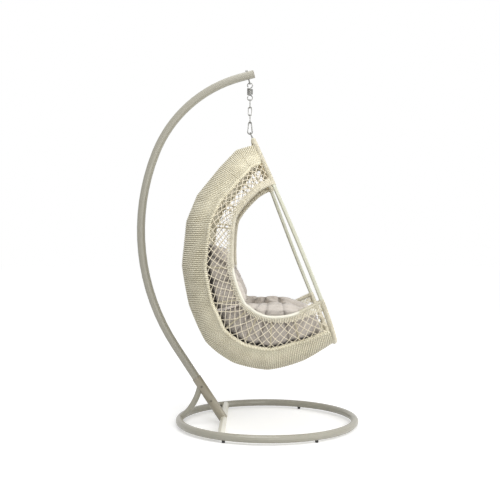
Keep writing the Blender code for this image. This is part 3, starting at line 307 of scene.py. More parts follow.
linen_group, gin, gout = new_group(
    "plain_weave_linen",
    {"Light": rgb(205, 197, 192), "Dark": rgb(160, 150, 146), "Yarn": 0.0011},
    ("Colour", "Height"),
)
tree = linen_group
place = object_place(tree)
facing = facing_axes(tree)
wobble = node(
    tree, "ShaderNodeTexNoise", {"Vector": place, "Scale": 60.0, "Detail": 1.0}
).outputs["Color"]
bent = node(
    tree, "ShaderNodeVectorMath", {0: wobble, 1: (YARN_WANDER,) * 3}, operation="MULTIPLY"
).outputs[0]
bent = node(tree, "ShaderNodeVectorMath", {0: place, 1: bent}, operation="ADD").outputs[0]
axes = node(tree, "ShaderNodeSeparateXYZ", {0: bent})
step = calc(tree, "DIVIDE", math.pi, gin.outputs["Yarn"])
waves = [
    calc(tree, "SINE", calc(tree, "MULTIPLY", axes.outputs[a], step)) for a in range(3)
]
height = None
for normal_axis, (first, second) in enumerate(((1, 2), (0, 2), (0, 1))):
    cloth = calc(tree, "ABSOLUTE", calc(tree, "ADD", waves[first], waves[second]))
    turned = calc(tree, "ABSOLUTE", facing[normal_axis])
    weight = calc(tree, "POWER", turned, 3.0)
    part = calc(tree, "MULTIPLY", cloth, weight)
    height = part if height is None else calc(tree, "ADD", height, part)
slub = noise(tree, place, 240.0, 3.0, 0.7)
worn = noise(tree, place, 9.0, 3.0)
shade = calc(tree, "MULTIPLY_ADD", height, 0.22, remap(tree, slub, 0.25, 0.75, 0.1, 0.7))
shade = calc(tree, "ADD", shade, remap(tree, worn, 0.3, 0.7, -0.08, 0.12))
tone = mix(tree, shade, gin.outputs["Dark"], gin.outputs["Light"])
tree.links.new(tone, gout.inputs["Colour"])
tree.links.new(calc(tree, "MULTIPLY_ADD", slub, 0.6, height), gout.inputs["Height"])


def linen_material(name, light, dark, crease):
    """The colour goes towards crease, the painted shade colour, as far as the mesh's painted shade
    share says.
    """
    made, tree, shader = new_material(name, 0.95, Sheen_Weight=0.35, Sheen_Roughness=0.6)
    cloth = use_group(tree, linen_group, {"Light": light, "Dark": dark})
    shade_share = node(tree, "ShaderNodeAttribute", attribute_name="drawn_in").outputs["Fac"]
    tree.links.new(mix(tree, shade_share, cloth["Colour"], crease), shader.inputs["Base Color"])
    bump(tree, shader, cloth["Height"], 0.0004)
    return made


# The last colour is the painted shade of seams, tufts, creases, the pads' sides and the gap along
# the band.
linen = linen_material("greige_linen", rgb(211, 203, 194), rgb(176, 167, 157), rgb(50, 39, 29))

# %% Zinc and plastic
zinc, tree, shader = new_material("zinc_plate", 0.34, 1.0)
place = object_place(tree)
spangle = node(tree, "ShaderNodeTexVoronoi", {"Vector": place, "Scale": 420.0})
spangle = spangle.outputs["Distance"]
stain = noise(tree, place, 130.0, 4.0, 0.6)
tone = mix(tree, remap(tree, stain, 0.35, 0.7), rgb(158, 158, 154), rgb(106, 105, 102))
tree.links.new(tone, shader.inputs["Base Color"])
tree.links.new(remap(tree, stain, 0.3, 0.7, 0.32, 0.52), shader.inputs["Roughness"])
bump(tree, shader, calc(tree, "MULTIPLY_ADD", spangle, 0.4, stain), 0.00008)


def plastic_material(name, colour, scuffed, roughness):
    made, tree, shader = new_material(name, roughness)
    place = object_place(tree)
    grain = noise(tree, place, 1300.0, 2.0)
    scuff = remap(tree, noise(tree, place, 90.0, 5.0, 0.7), 0.55, 0.75)
    tree.links.new(mix(tree, scuff, colour, scuffed), shader.inputs["Base Color"])
    shine = remap(tree, grain, 0.3, 0.7, roughness - 0.06, roughness + 0.1)
    tree.links.new(shine, shader.inputs["Roughness"])
    bump(tree, shader, grain, 0.0001)
    return made


black_plastic = plastic_material("black_plastic", rgb(28, 28, 28), rgb(58, 57, 55), 0.55)
black_steel = plastic_material("blackened_steel", rgb(40, 39, 38), rgb(74, 72, 69), 0.42)
dull_steel = plastic_material("dull_steel", rgb(104, 98, 86), rgb(134, 128, 115), 0.45)
cap_plastic = plastic_material("grey_plastic", rgb(158, 151, 139), rgb(176, 170, 158), 0.5)

# %% [markdown]
# ## Putting finishes on the solids
# Small rigid pieces are right as they are, so they keep their shape and only get a finish.


# %% Finishes
def finish_piece(obj, material):
    """Gives an object one material."""
    obj.data.materials.clear()
    obj.data.materials.append(material)


def finish_nodes(material, *names):
    for name in names:
        finish_piece(frame["nodes"][name], material)


def read_points(mesh):
    """A mesh's points and their normals, one row each."""
    co, normals = np.empty(len(mesh.vertices) * 3), np.empty(len(mesh.vertices) * 3)
    mesh.vertices.foreach_get("co", co)
    mesh.vertex_normals.foreach_get("vector", normals)
    return co.reshape(-1, 3), normals.reshape(-1, 3)


def write_points(mesh, points):
    mesh.vertices.foreach_set("co", points.ravel())


def mark_points(mesh, name, values):
    """Keeps one number for each point, which a material can read."""
    layer = mesh.attributes.new(name, "FLOAT", "POINT")
    layer.data.foreach_set("value", np.asarray(values, np.float32))


finish_nodes(pale_coat, "cross_bar")
finish_nodes(greige_coat, "rear_brace", "c_pole", "ring_front", "ring_rear")
finish_nodes(brown_coat, "pole_socket")
finish_nodes(
    black_plastic, "foot_front_left", "foot_front_right", "foot_rear_left", "foot_rear_right"
)
finish_nodes(black_steel, "ring_bolt_left", "ring_bolt_right")
finish_nodes(dull_steel, "socket_bolt_lower", "socket_bolt_upper")
finish_nodes(cap_plastic, "pole_end_cap")
finish_nodes(
    zinc, "eye_bolt", "eye_bolt_nut", "hook_spring", "chain_link_upper", "chain_link_middle",
    "chain_link_lower", "carabiner_body", "carabiner_gate", "carabiner_gate_pin", "hanging_loop",
)
finish_nodes(ivory_coat, "front_hoop")
# The ribs and edge rails get the coat with painted shade.
finish_nodes(shaded_rib_coat, "edge_rail_left", "edge_rail_right")
finish_nodes(shaded_rib_coat, *["rib_%02d" % n for n in range(1, 11)])

# %% [markdown]
# ## Cords as swept tubes
# A cord is one round section carried along a line. Blender's curve bevel can do it, but the
# weave has hundreds of cords, so one helper sweeps them all into a single mesh and writes a UV
# map with the metres run along each cord, which the twist of the rope follows.


# %% Sweeping cords
def run_along(points):
    """The length run from the first point to each."""
    steps = np.linalg.norm(np.diff(points, axis=0), axis=1)
    return np.concatenate([[0], np.cumsum(steps)])


def frames_along(points, closed=False):
    """Unit tangent and two side directions at each point, carried along without twisting."""
    points = np.asarray(points, float)
    if closed:
        ahead, behind = np.roll(points, -1, 0), np.roll(points, 1, 0)
    else:
        ahead = np.vstack([points[1:], points[-1:]])
        behind = np.vstack([points[:1], points[:-1]])
    tangent = ahead - behind
    tangent /= np.linalg.norm(tangent, axis=1)[:, None]
    start = np.array((0.0, 0.0, 1.0)) if abs(tangent[0][2]) < 0.9 else np.array((1.0, 0.0, 0.0))
    side = np.cross(tangent[0], start)
    sides = []
    for t in tangent:
        side = side - t * np.dot(side, t)
        side /= np.linalg.norm(side)
        sides.append(side)
    sides = np.array(sides)
    other = np.cross(tangent, sides)
    if closed:  # spread the turn that is left over the whole loop
        left = math.atan2(np.dot(sides[-1], other[0]), np.dot(sides[-1], sides[0]))
        turn = -left * np.arange(len(points)) / len(points)
        c, s = np.cos(turn)[:, None], np.sin(turn)[:, None]
        sides, other = sides * c + other * s, other * c - sides * s
    return tangent, sides, other


class Cords:
    """Gathers swept cords and makes one mesh of them."""

    def __init__(self):
        self.verts, self.faces, self.uvs = [], [], []
        self.count = 0

    def add(self, points, radius, sides=6, closed=False, shift=0.0):
        """radius is one number or one for each point. shift moves the pattern along the cord."""
        points = np.asarray(points, float)
        n = len(points)
        radius = np.broadcast_to(np.asarray(radius, float), (n,))
        _, u, v = frames_along(points, closed)
        a = 2 * math.pi * np.arange(sides) / sides
        ring = (
            points[:, None] + radius[:, None, None]
            * (u[:, None] * np.cos(a)[None, :, None] + v[:, None] * np.sin(a)[None, :, None])
        )
        base = self.count
        self.verts.append(ring.reshape(-1, 3))
        run = run_along(points) + shift
        if closed:
            run = np.append(run, run[-1] + np.linalg.norm(points[0] - points[-1]))
        last = n if closed else n - 1
        for i in range(last):
            j = (i + 1) % n
            for k in range(sides):
                m = (k + 1) % sides
                self.faces.append((base + i * sides + k, base + i * sides + m,
                                   base + j * sides + m, base + j * sides + k))
                self.uvs += [(run[i], k / sides), (run[i], (k + 1) / sides),
                             (run[i + 1], (k + 1) / sides), (run[i + 1], k / sides)]
        if not closed:
            for i, order in ((0, range(sides - 1, -1, -1)), (n - 1, range(sides))):
                self.faces.append(tuple(base + i * sides + k for k in order))
                self.uvs += [(run[i], k / sides) for k in order]
        self.count += n * sides

    def make(self, name, material, body="basket", slot="cream_rope"):
        mesh = bpy.data.meshes.new(name)
        mesh.from_pydata(np.vstack(self.verts).tolist(), [], self.faces)
        layer = mesh.uv_layers.new(name="cord")
        layer.data.foreach_set("uv", np.array(self.uvs, np.float32).ravel())
        mesh.validate()
        bm = bmesh.new()
        bm.from_mesh(mesh)
        if bm.calc_volume(signed=True) < 0:
            bmesh.ops.reverse_faces(bm, faces=bm.faces)
        bm.to_mesh(mesh)
        bm.free()
        mesh.shade_smooth()
        obj = bpy.data.objects.new(name, mesh)
        bpy.context.scene.collection.objects.link(obj)
        finish_piece(obj, material)
        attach(obj, body)
        print("%s: %d faces" % (name, len(self.faces)))
        return obj


# %% [markdown]
# ## The basket's surface
# The basket is a half egg. A flat hoop leans back across its open front, ten bowed ribs run
# round behind it from rim to rim, and everything woven lies on the surface through the ribs.
# The rows below are the same named sizes as the solids', from the hanging point.

# %% The egg
HOOP_TOP_AHEAD, HOOP_TOP_DROP, HOOP_FALL, HOOP_LEAN = 0.016, 0.0284, 1.109, 0.40
HOOP_HALF_WIDTH, HOOP_TIP_ROUNDING = 0.370, 0.06
HOOP_TUBE, RIM_TUBE, RAIL_TUBE = 0.022, 0.022, 0.010
BAND_TOP_SHARE, RIM_TOP_SHARE, RIM_FOOT_SHARE = 0.030, 0.232, 0.783
BAND_DEPTH, BAND_TOP_DEPTH, BAND_FOOT_DEPTH = 0.129, 0.104, 0.088
RIB_SPINES = (
    (-0.074, 0.091), (-0.164, 0.189), (-0.284, 0.342), (-0.341, 0.486), (-0.364, 0.720),
    (-0.325, 0.932), (-0.235, 1.129), (-0.091, 1.238), (0.097, 1.278), (0.287, 1.232),
)
RIB_RIMS = (
    (0.075, 0.305), (0.031, 0.335), (-0.050, 0.424), (-0.084, 0.511), (-0.088, 0.728),
    (-0.040, 0.884), (0.000, 0.930), (0.045, 0.959), (0.110, 0.976), (0.220, 0.963),
)
RIB_HALF_WIDTHS = (0.250, 0.292, 0.345, 0.370, 0.390, 0.395, 0.390, 0.385, 0.380, 0.372)
RIB_SQUARENESS = (1.7, 2.2, 2.7, 3.0, 3.0, 3.0, 3.0, 3.0, 2.9, 2.6)
LAST = 11.0  # the rows run from 0 at the hoop's top to 11 at its foot
SPINE_SOFTNESS, SOFT_FROM, SOFT_OVER = 0.65, 4.0, 3.0  # rows over which its corners go round
TOP_BLEND, FOOT_BLEND = 1.6, 1.4  # rows over which the section takes the hoop's own width
RAIL_CLEAR, NET_CLEAR, BORDER_CLEAR, NET_RIM_CLEAR = 0.0008, 0.0026, 0.0052, 0.0095


def hoop_shape(share):
    share = np.clip(share, 0, 1)
    return np.sqrt(share * (share + HOOP_TIP_ROUNDING) * (1 - share))


hoop_scale = HOOP_HALF_WIDTH / hoop_shape(np.linspace(0.3, 1.0, 2000)).max()


def hoop(share, side=1):
    """A point of the hoop's centreline, share of its height below its top."""
    return pivot + (
        HOOP_TOP_AHEAD + HOOP_LEAN * HOOP_FALL * share,
        side * hoop_scale * float(hoop_shape(share)),
        -(HOOP_TOP_DROP + HOOP_FALL * share),
    )


def rows_of(first, pairs, last):
    made = [first[[0, 2]]] + [pivot[[0, 2]] + (ahead, -drop) for ahead, drop in pairs]
    return np.array(made + [last[[0, 2]]])


spine_rows = rows_of(hoop(BAND_TOP_SHARE), RIB_SPINES, hoop(1.0))
rim_rows = rows_of(hoop(RIM_TOP_SHARE), RIB_RIMS, hoop(RIM_FOOT_SHARE))
width_rows = np.array([hoop(RIM_TOP_SHARE)[1], *RIB_HALF_WIDTHS, hoop(RIM_FOOT_SHARE)[1]])
square_rows = np.array([RIB_SQUARENESS[0], *RIB_SQUARENESS, RIB_SQUARENESS[-1]])


def straight(rows, t):
    i = min(max(int(math.floor(t)), 0), len(rows) - 2)
    return rows[i] + (rows[i + 1] - rows[i]) * (t - i)


def smooth(rows, t):
    """A curve through the rows."""
    i = min(max(int(math.floor(t)), 0), len(rows) - 2)
    f = t - i
    p1, p2 = rows[i], rows[i + 1]
    p0 = rows[i - 1] if i else 2 * p1 - p2
    p3 = rows[i + 2] if i + 2 < len(rows) else 2 * p2 - p1
    return 0.5 * (2 * p1 + (p2 - p0) * f + (2 * p0 - 5 * p1 + 4 * p2 - p3) * f**2
                  + (3 * p1 - p0 - 3 * p2 + p3) * f**3)


def spine_at(t):
    """The spine turns a corner at the upper ribs, and is nearly round over the lower ones."""
    soft = SPINE_SOFTNESS * min(1.0, max(0.0, (t - SOFT_FROM) / SOFT_OVER))
    return straight(spine_rows, t) * (1 - soft) + smooth(spine_rows, t) * soft


def fullness(t, d):
    """The half width at depth d from the spine to the rim, as a part of that at the rim."""
    if d >= 1:
        return 1.0
    power = float(straight(square_rows, t))
    bow = (1 - (1 - max(d, 0.0)) ** power) ** (1 / power)
    share = BAND_TOP_SHARE + (RIM_TOP_SHARE - BAND_TOP_SHARE) * d
    above = hoop(share)[1] / hoop(RIM_TOP_SHARE)[1] * min(1.0, d / 0.012)
    below = hoop(1 - (1 - RIM_FOOT_SHARE) * d)[1] / hoop(RIM_FOOT_SHARE)[1]
    near_top = max(0.0, 1 - t / TOP_BLEND) ** 1.5
    near_foot = max(0.0, 1 - (LAST - t) / FOOT_BLEND) ** 1.5
    return bow * (1 - near_top - near_foot) + above * near_top + below * near_foot


def skin(t, d, side=1):
    """A point of the basket's surface."""
    spine, rim = spine_at(t), smooth(rim_rows, t)
    flat = spine + (rim - spine) * d
    return np.array((flat[0], side * float(smooth(width_rows, t)) * fullness(t, d), flat[1]))


def depth_at(t):
    return float(np.linalg.norm(smooth(rim_rows, t) - spine_at(t)))


def inward(t, d, side=1):
    """The unit normal into the basket."""
    e = 1e-3
    t0, t1 = max(t - e, 0.0), min(t + e, LAST)
    d0, d1 = max(d - e, 0.0), min(d + e, 1.0)
    along = skin(t1, d, side) - skin(t0, d, side)
    across = skin(t, d1, side) - skin(t, d0, side)
    if d < 2 * e:
        across = np.array((0.0, 1.0, 0.0))
    normal = np.cross(along, across)
    normal /= np.linalg.norm(normal)
    spine, rim = spine_at(t), smooth(rim_rows, t)
    heart = np.array((rim[0], 0.0, rim[1])) * 1.3 - np.array((spine[0], 0.0, spine[1])) * 0.3
    return normal if np.dot(normal, heart - skin(t, d, side)) > 0 else -normal


grid = np.linspace(0.0, LAST, 221)
depths = np.array([depth_at(t) for t in grid])
band_edge = (
    BAND_DEPTH + np.clip(1 - grid / 1.2, 0, 1) * (BAND_TOP_DEPTH - BAND_DEPTH)
    + np.clip(1 - (LAST - grid) / 1.2, 0, 1) * (BAND_FOOT_DEPTH - BAND_DEPTH)
) / depths


def stand_off(shares, clear, way):
    """The edge that keeps a distance clear from the edge at shares."""
    line = np.array([skin(t, d) for t, d in zip(grid, shares)])
    kept = []
    for t, d in zip(grid, shares):
        while np.linalg.norm(line - skin(t, d), axis=1).min() < clear:
            d += way * 0.001
        kept.append(d)
    return np.array(kept)


rail_edge = stand_off(band_edge, RAIL_TUBE / 2 + RAIL_CLEAR, 1)
net_first = stand_off(rail_edge, RAIL_TUBE / 2 + NET_CLEAR, 1)
border_edge = stand_off(np.ones_like(grid), RIM_TUBE / 2 + BORDER_CLEAR, -1)
net_last = stand_off(np.ones_like(grid), RIM_TUBE / 2 + NET_RIM_CLEAR, -1)
hoop_line = np.array([
    hoop((1 - math.cos(a)) / 2, 1 if a < math.pi else -1)
    for a in np.linspace(0, 2 * math.pi, 481)[:-1]
])


def off_hoop(p):
    return float(np.linalg.norm(hoop_line - p, axis=1).min())


def reach(place, clear):
    """The range of t over which place(t) stays clear of the hoop's centreline."""
    low, high = 0.0, LAST
    while off_hoop(place(low)) < clear:
        low += 0.01
    while off_hoop(place(high)) < clear:
        high -= 0.01
    return low, high


def even(place, low, high, count, fine=400):
    """count values of t that are evenly spaced along the line place(t)."""
    t = np.linspace(low, high, fine)
    points = np.array([place(v) for v in t])
    run = run_along(points)
    return np.interp(np.linspace(0, run[-1], count), run, t), run[-1]


# %% [markdown]
# ## The woven back
# On the real basket one long cord is laid to and fro across the back, close enough to hide
# what is behind it. A flat sheet with a bump map would look printed at the edges, so each
# course is its own cord here and ends round the edge rails. A second layer of cords fills the
# gaps between the courses, with painted shade on its outside, so that the gaps read as shade.

# %% Woven back
COURSE_PITCH, CORD_RADIUS, BACKING_RADIUS = 0.0106, 0.0044, 0.0042
COURSE_LIFT, BACKING_LIFT = -0.0012, 0.0030  # into the basket, off the surface
WEAVE_CLEAR = 0.0052  # from the hoop's tube
RAIL_TURN = (5, 50, 95, 135)  # degrees round the edge rail, where a course ends
BASKET_HEART = (0.06, 0.0, -0.70)  # from the hanging point


def on_edge(table, t):
    return float(np.interp(t, grid, table))


def across_band(t, share, side, lift):
    d = on_edge(band_edge, t) * share
    return skin(t, d, side) + inward(t, d, side) * lift


def round_rail(t, side, degrees):
    """A point of a cord that lies round the edge rail, from its outside over to the rim's side."""
    d = on_edge(rail_edge, t)
    towards_rim = skin(t, d + 0.01, side) - skin(t, d - 0.01, side)
    towards_rim /= np.linalg.norm(towards_rim)
    a, out = math.radians(degrees), RAIL_TUBE / 2 + CORD_RADIUS * 0.9
    return skin(t, d, side) + (towards_rim * math.sin(a) - inward(t, d, side) * math.cos(a)) * out


def build_weave():
    outer, backing = Cords(), Cords()
    hoop_clear = HOOP_TUBE / 2 + WEAVE_CLEAR
    low, high = reach(lambda t: skin(t, 0.0), hoop_clear)
    count = 1 + round(even(lambda t: skin(t, 0.0), low, high, 2)[1] / COURSE_PITCH)
    times, _ = even(lambda t: skin(t, 0.0), low, high, 2 * count - 1)
    edge_low, edge_high = reach(lambda t: skin(t, on_edge(band_edge, t)), hoop_clear)
    rail_low, rail_high = reach(lambda t: skin(t, on_edge(rail_edge, t) + 0.02), hoop_clear)

    def fan(t, share):
        """A course's row at a share of the way to its end, as the edge has ends of its own."""
        f = (t - low) / (high - low)
        return t + (edge_low - low) * (1 - f) ** 6 * share + (edge_high - high) * f**6 * share

    half = 9
    shares = np.array([1 - math.cos(math.pi / 2 * k / half) ** 0.8 for k in range(half + 1)])
    shares /= shares[-1]
    for number, t in enumerate(times):
        inner = number % 2 == 1
        lift = BACKING_LIFT if inner else COURSE_LIFT
        points = []
        for k in range(-half, half + 1):
            share, side = shares[abs(k)], -1 if k < 0 else 1
            points.append(across_band(fan(t, share), share, side, lift))
        if inner:
            backing.add(points, BACKING_RADIUS, 5)
            continue
        at = fan(t, 1.0)
        if rail_low < at < rail_high:
            ends = [[round_rail(at, side, a) for a in RAIL_TURN] for side in (-1, 1)]
            points = ends[0][::-1] + points + ends[1]
        outer.add(points, CORD_RADIUS, 6, shift=0.013 * (number // 2 % 2))
    weave = outer.make("back_weave", weave_rope)
    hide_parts("back_band")
    behind = backing.make("back_weave_backing", shade_rope)
    co, normals = read_points(behind.data)
    facing_in = ((pivot + BASKET_HEART - co) * normals).sum(1)
    # inner_face marks the side that keeps the rope's colour; the rest gets painted shade.
    mark_points(behind.data, "inner_face", facing_in > 0)


build_weave()


# %% [markdown]
# ## Winding a cord
# Where tubes meet, the chair is bound by hand with a thin cord. A coil is a circle carried
# along a line, so it is swept as a helix with a small section, and one helper winds them all.


# %% Winding
def coil(line, core, cord, pitch, cords, sides=5, steps=9, start=0.0):
    """Winds a cord round the line, at the radius of the core."""
    line = np.asarray(line, float)
    _, u, v = frames_along(line)
    run = run_along(line)
    turns = max(1, round(run[-1] / pitch))
    s = np.linspace(0, run[-1], turns * steps + 1)
    a = 2 * math.pi * np.linspace(0, turns, turns * steps + 1) + start
    at = np.stack([np.interp(s, run, line[:, i]) for i in range(3)], 1)
    uu = np.stack([np.interp(s, run, u[:, i]) for i in range(3)], 1)
    vv = np.stack([np.interp(s, run, v[:, i]) for i in range(3)], 1)
    radius = np.interp(s, run, np.broadcast_to(core, (len(line),))) + cord * 0.75
    out = uu * np.cos(a)[:, None] + vv * np.sin(a)[:, None]
    cords.add(at + out * radius[:, None], cord, sides)


# %% [markdown]
# ## The side nets
# Two sets of straight cords slant across each open side and pass over and under each other
# in turn. Each cord moves on by three of its own gaps on its way from the rail to the rim.

# %% Nets
NET_GAPS, NET_ADVANCE, NET_CORD = 34, 3, 0.0021
NET_WAVE, NET_STEPS = 0.0019, 24  # a cord's way over and under the others, and its points
NET_HOOP_CLEAR = 0.004


def net_place(side):
    """A point of the net: a from end to end and w from the rail to the rim, both from 0 to 1."""
    levels = np.linspace(0, 1, 7)
    tables = []
    for w in levels:
        def place(t, w=w):
            first, last = on_edge(net_first, t), on_edge(net_last, t)
            return skin(t, first + (last - first) * w, side)

        low, high = reach(place, HOOP_TUBE / 2 + NET_HOOP_CLEAR)
        tables.append(even(place, low, high, 200)[0])
    tables = np.array(tables)
    share = np.linspace(0, 1, 200)

    def point(a, w, lift):
        t = np.interp(w, levels, [np.interp(a, share, row) for row in tables])
        first, last = on_edge(net_first, t), on_edge(net_last, t)
        d = first + (last - first) * w
        return skin(t, d, side) + inward(t, d, side) * lift

    return point


for name, side in (("net_cords_left", 1), ("net_cords_right", -1)):
    cords, point = Cords(), net_place(side)
    for way in (1, -1):
        for k in range(-NET_ADVANCE, NET_GAPS + NET_ADVANCE + 1):
            start = (k + 0.5) / NET_GAPS
            line = []
            for w in np.linspace(0, 1, NET_STEPS + 1):
                a = start + way * NET_ADVANCE * w / NET_GAPS
                if 0 <= a <= 1:
                    lift = way * NET_WAVE * math.cos(2 * math.pi * NET_ADVANCE * w)
                    line.append(point(a, w, lift))
            if len(line) > 2:
                cords.add(line, NET_CORD, 5)
    net = cords.make(name, net_rope)
    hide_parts("side_net_left" if side > 0 else "side_net_right")

# %% [markdown]
# ## Knotted borders
# Along each rim the net closes up into a solid border of cords laid side by side, about a
# finger wide, which spreads to two or three fingers where the rim meets the hoop. Each of its
# cords is short and runs from the rim to the net, so the border is swept cord by cord.

# %% Borders and rims
BORDER, BORDER_AT_TOP, BORDER_AT_FOOT = 0.013, 0.024, 0.038
BORDER_CORD, BORDER_PITCH = 0.0034, 0.0084
BORDER_HOOP_CLEAR, BORDER_CORD_CLEAR = 0.005, 0.003
RIM_CORE, RIM_CORD = 0.0085, 0.0018
WRAP_PITCH, WRAP_STEPS = 0.0046, 11
RIM_WRAPS = ((0.02, 5.0), (10.2, LAST - 0.02))  # rows over which the rims are wound
border_width = (
    BORDER + np.clip(1 - grid / 1.1, 0, 1) ** 1.5 * (BORDER_AT_TOP - BORDER)
    + np.clip(1 - (LAST - grid) / 2.2, 0, 1) ** 1.5 * (BORDER_AT_FOOT - BORDER)
)
border_table = 1 - (RIM_TUBE / 2 + border_width) / depths

for name, side in (("net_border_left", 1), ("net_border_right", -1)):
    def place(t, side=side):
        return skin(t, on_edge(border_edge, t), side)

    low, high = reach(place, HOOP_TUBE / 2 + BORDER_HOOP_CLEAR)
    times, length = even(place, low, high, 250)
    times, _ = even(place, low, high, round(length / BORDER_PITCH))
    cords = Cords()
    for number, t in enumerate(times):
        first, last = on_edge(border_table, t), 1 - 0.0075 / depth_at(t)
        first += 0.003 / depth_at(t) * math.sin(1.9 * number)
        line = []
        for k, w in enumerate(np.linspace(0, 1, 6)):
            d = first + (last - first) * w
            lift = 0.0016 * math.sin(2.4 * number + 2.2 * k) - 0.0012 - 0.0070 * w**4
            p = skin(t, d, side) + inward(t, d, side) * lift
            if off_hoop(p) > HOOP_TUBE / 2 + BORDER_CORD_CLEAR:
                line.append(p)
        if len(line) > 2:
            cords.add(line, BORDER_CORD, 6, shift=0.0037 * number)
    cords.make(name, wrap_rope)

for side_name, side in (("left", 1), ("right", -1)):
    times, _ = even(lambda t: skin(t, 1.0, side), 0.0, LAST, 120)
    line = [skin(t, 1.0, side) for t in times]
    cords = Cords()
    cords.add(line, RIM_CORE, 12)
    rim = cords.make("rim_tube_" + side_name, rim_coat, slot="cream_coated_steel")
    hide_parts("rim_" + side_name)
    cords = Cords()
    for first, last in RIM_WRAPS:
        times, _ = even(lambda t: skin(t, 1.0, side), first, last, 60)
        line = [skin(t, 1.0, side) for t in times]
        coil(line, RIM_CORE, RIM_CORD, WRAP_PITCH, cords, 5, WRAP_STEPS)
    cords.make("rim_wrap_" + side_name, wrap_rope)

# %% [markdown]
# ## Lashings on the hoop
# The band and the nets are sewn to the hoop where they meet it. A cord is wound close round
# the tube there, and a heavier lacing runs beside it down to the rim. The tube is bare between.


# %% Hoop lashings
LASH_CORD = 0.0017
LASHED = ((0.006, RIM_TOP_SHARE + 0.012), (RIM_FOOT_SHARE - 0.006, 0.9995))  # of the hoop
LACED = (0.115, RIM_TOP_SHARE - 0.004)
LACING_OFFSET = (-0.0150, 0.0, -0.0060)  # from the hoop's centreline
LACING_CORE, LACING_CORD, LACING_PITCH = 0.0012, 0.0026, 0.0110
CROWN_FOOT, CROWN_HEAD = (0.0215, 0, -0.0640), (0.0125, 0, -0.0270)  # from the hanging point


def hoop_stretch(first, last, side, count):
    return [hoop(v, side) for v in np.linspace(first, last, count)]


for side_name, side in (("left", 1), ("right", -1)):
    cords = Cords()
    for first, last in LASHED:
        line = hoop_stretch(first, last, side, 90)
        coil(line, HOOP_TUBE / 2, LASH_CORD, WRAP_PITCH, cords, 5, WRAP_STEPS)
    cords.make("hoop_lashing_" + side_name, wrap_rope)
    cords = Cords()
    line = [p + LACING_OFFSET for p in hoop_stretch(*LACED, side, 40)]
    for start in (0.0, math.pi):
        coil(line, LACING_CORE, LACING_CORD, LACING_PITCH, cords, 6, 9, start)
    cords.make("net_lacing_" + side_name, lacing_rope)

crown = Cords()
foot, head = pivot + CROWN_FOOT, pivot + CROWN_HEAD
line = [foot + (head - foot) * f for f in np.linspace(0, 1, 20)]
coil(line, np.linspace(0.0105, 0.0045, 20), 0.0021, 0.0042, crown, 6, 14)
crown.add([foot + (head - foot) * f for f in (0.0, 0.5, 1.0)], [0.011, 0.008, 0.005], 12)
crown.make("crown_binding", wrap_rope)

# %% [markdown]
# ## Cushions
# A pad is a sewn cover blown tight by its filling. The solid's shape is copied, made a little
# smaller and inflated as cloth, which gives it the crowns and soft corners of a real cushion.


# %% Padding
PAD_VOXEL, PAD_SHRINK, PAD_CAP, PAD_SINK = 0.009, 0.006, 0.009, 0.001
PAD_PRESSURE, CLOTH_FRAMES, CLOTH_QUALITY = 4.0, 20, 5


def even_copy(node_name, name):
    """A solid's outside as an even mesh, in an object of its own that is active."""
    mesh = frame["nodes"][node_name].data.copy()
    obj = bpy.data.objects.new(name, mesh)
    bpy.context.scene.collection.objects.link(obj)
    bpy.ops.object.select_all(action="DESELECT")
    bpy.context.view_layer.objects.active = obj
    obj.select_set(True)
    bm = bmesh.new()
    bm.from_mesh(mesh)
    bmesh.ops.remove_doubles(bm, verts=bm.verts, dist=1e-5)
    bmesh.ops.recalc_face_normals(bm, faces=bm.faces)
    bm.to_mesh(mesh)
    bm.free()
    remesh = obj.modifiers.new("remesh", "REMESH")
    remesh.mode, remesh.voxel_size = "VOXEL", PAD_VOXEL
    bpy.ops.object.modifier_apply(modifier="remesh")
    return obj


def blow_up(obj, rest, normals):
    """Inflates a pad as cloth, and keeps it as full as the solid and inside its own room."""
    cloth = obj.modifiers.new("cloth", "CLOTH")
    cloth.settings.use_pressure = True
    cloth.settings.uniform_pressure_force = PAD_PRESSURE
    cloth.settings.effector_weights.gravity = 0.0
    cloth.settings.quality = CLOTH_QUALITY
    scene = bpy.context.scene
    for number in range(1, CLOTH_FRAMES + 1):
        scene.frame_set(number)
    graph = bpy.context.evaluated_depsgraph_get()
    co, _ = read_points(obj.evaluated_get(graph).data)
    obj.modifiers.remove(cloth)
    scene.frame_set(1)
    stand = ((co - rest) * normals).sum(1)
    kept = np.clip(stand, -PAD_SINK, PAD_CAP)
    print("%s: %d points, from %.1f to %.1f mm off the solid" % (
        obj.name, len(co), 1000 * kept.min(), 1000 * kept.max()))
    return co + normals * (kept - stand)[:, None]


def pad_from(node_name, name):
    obj = even_copy(node_name, name)
    mesh = obj.data
    rest, normals = read_points(mesh)
    write_points(mesh, rest - normals * PAD_SHRINK)
    mesh.update()
    write_points(mesh, blow_up(obj, rest, normals))
    mesh.update()
    mesh.shade_smooth()
    finish_piece(obj, linen)
    return obj


seat = pad_from("seat_cushion", "seat_pad")
back = pad_from("back_cushion", "back_pad")
for pad in (seat, back):
    divide = pad.modifiers.new("finer", "SUBSURF")
    divide.levels = divide.render_levels = 1
    bpy.context.view_layer.objects.active = pad
    bpy.ops.object.modifier_apply(modifier="finer")

# %% [markdown]
# ## Channels, tufts and creases
# The covers are sewn through, so lines across them and a few spots are drawn in deep, and
# the linen between puckers. The pads' sides roll away from the woven band, which leaves a gap
# along it. Painted shade darkens the seams, tufts, creases, the pads' sides and that gap.
# All of this is finer than the cloth's own mesh was, so it is pressed in now.

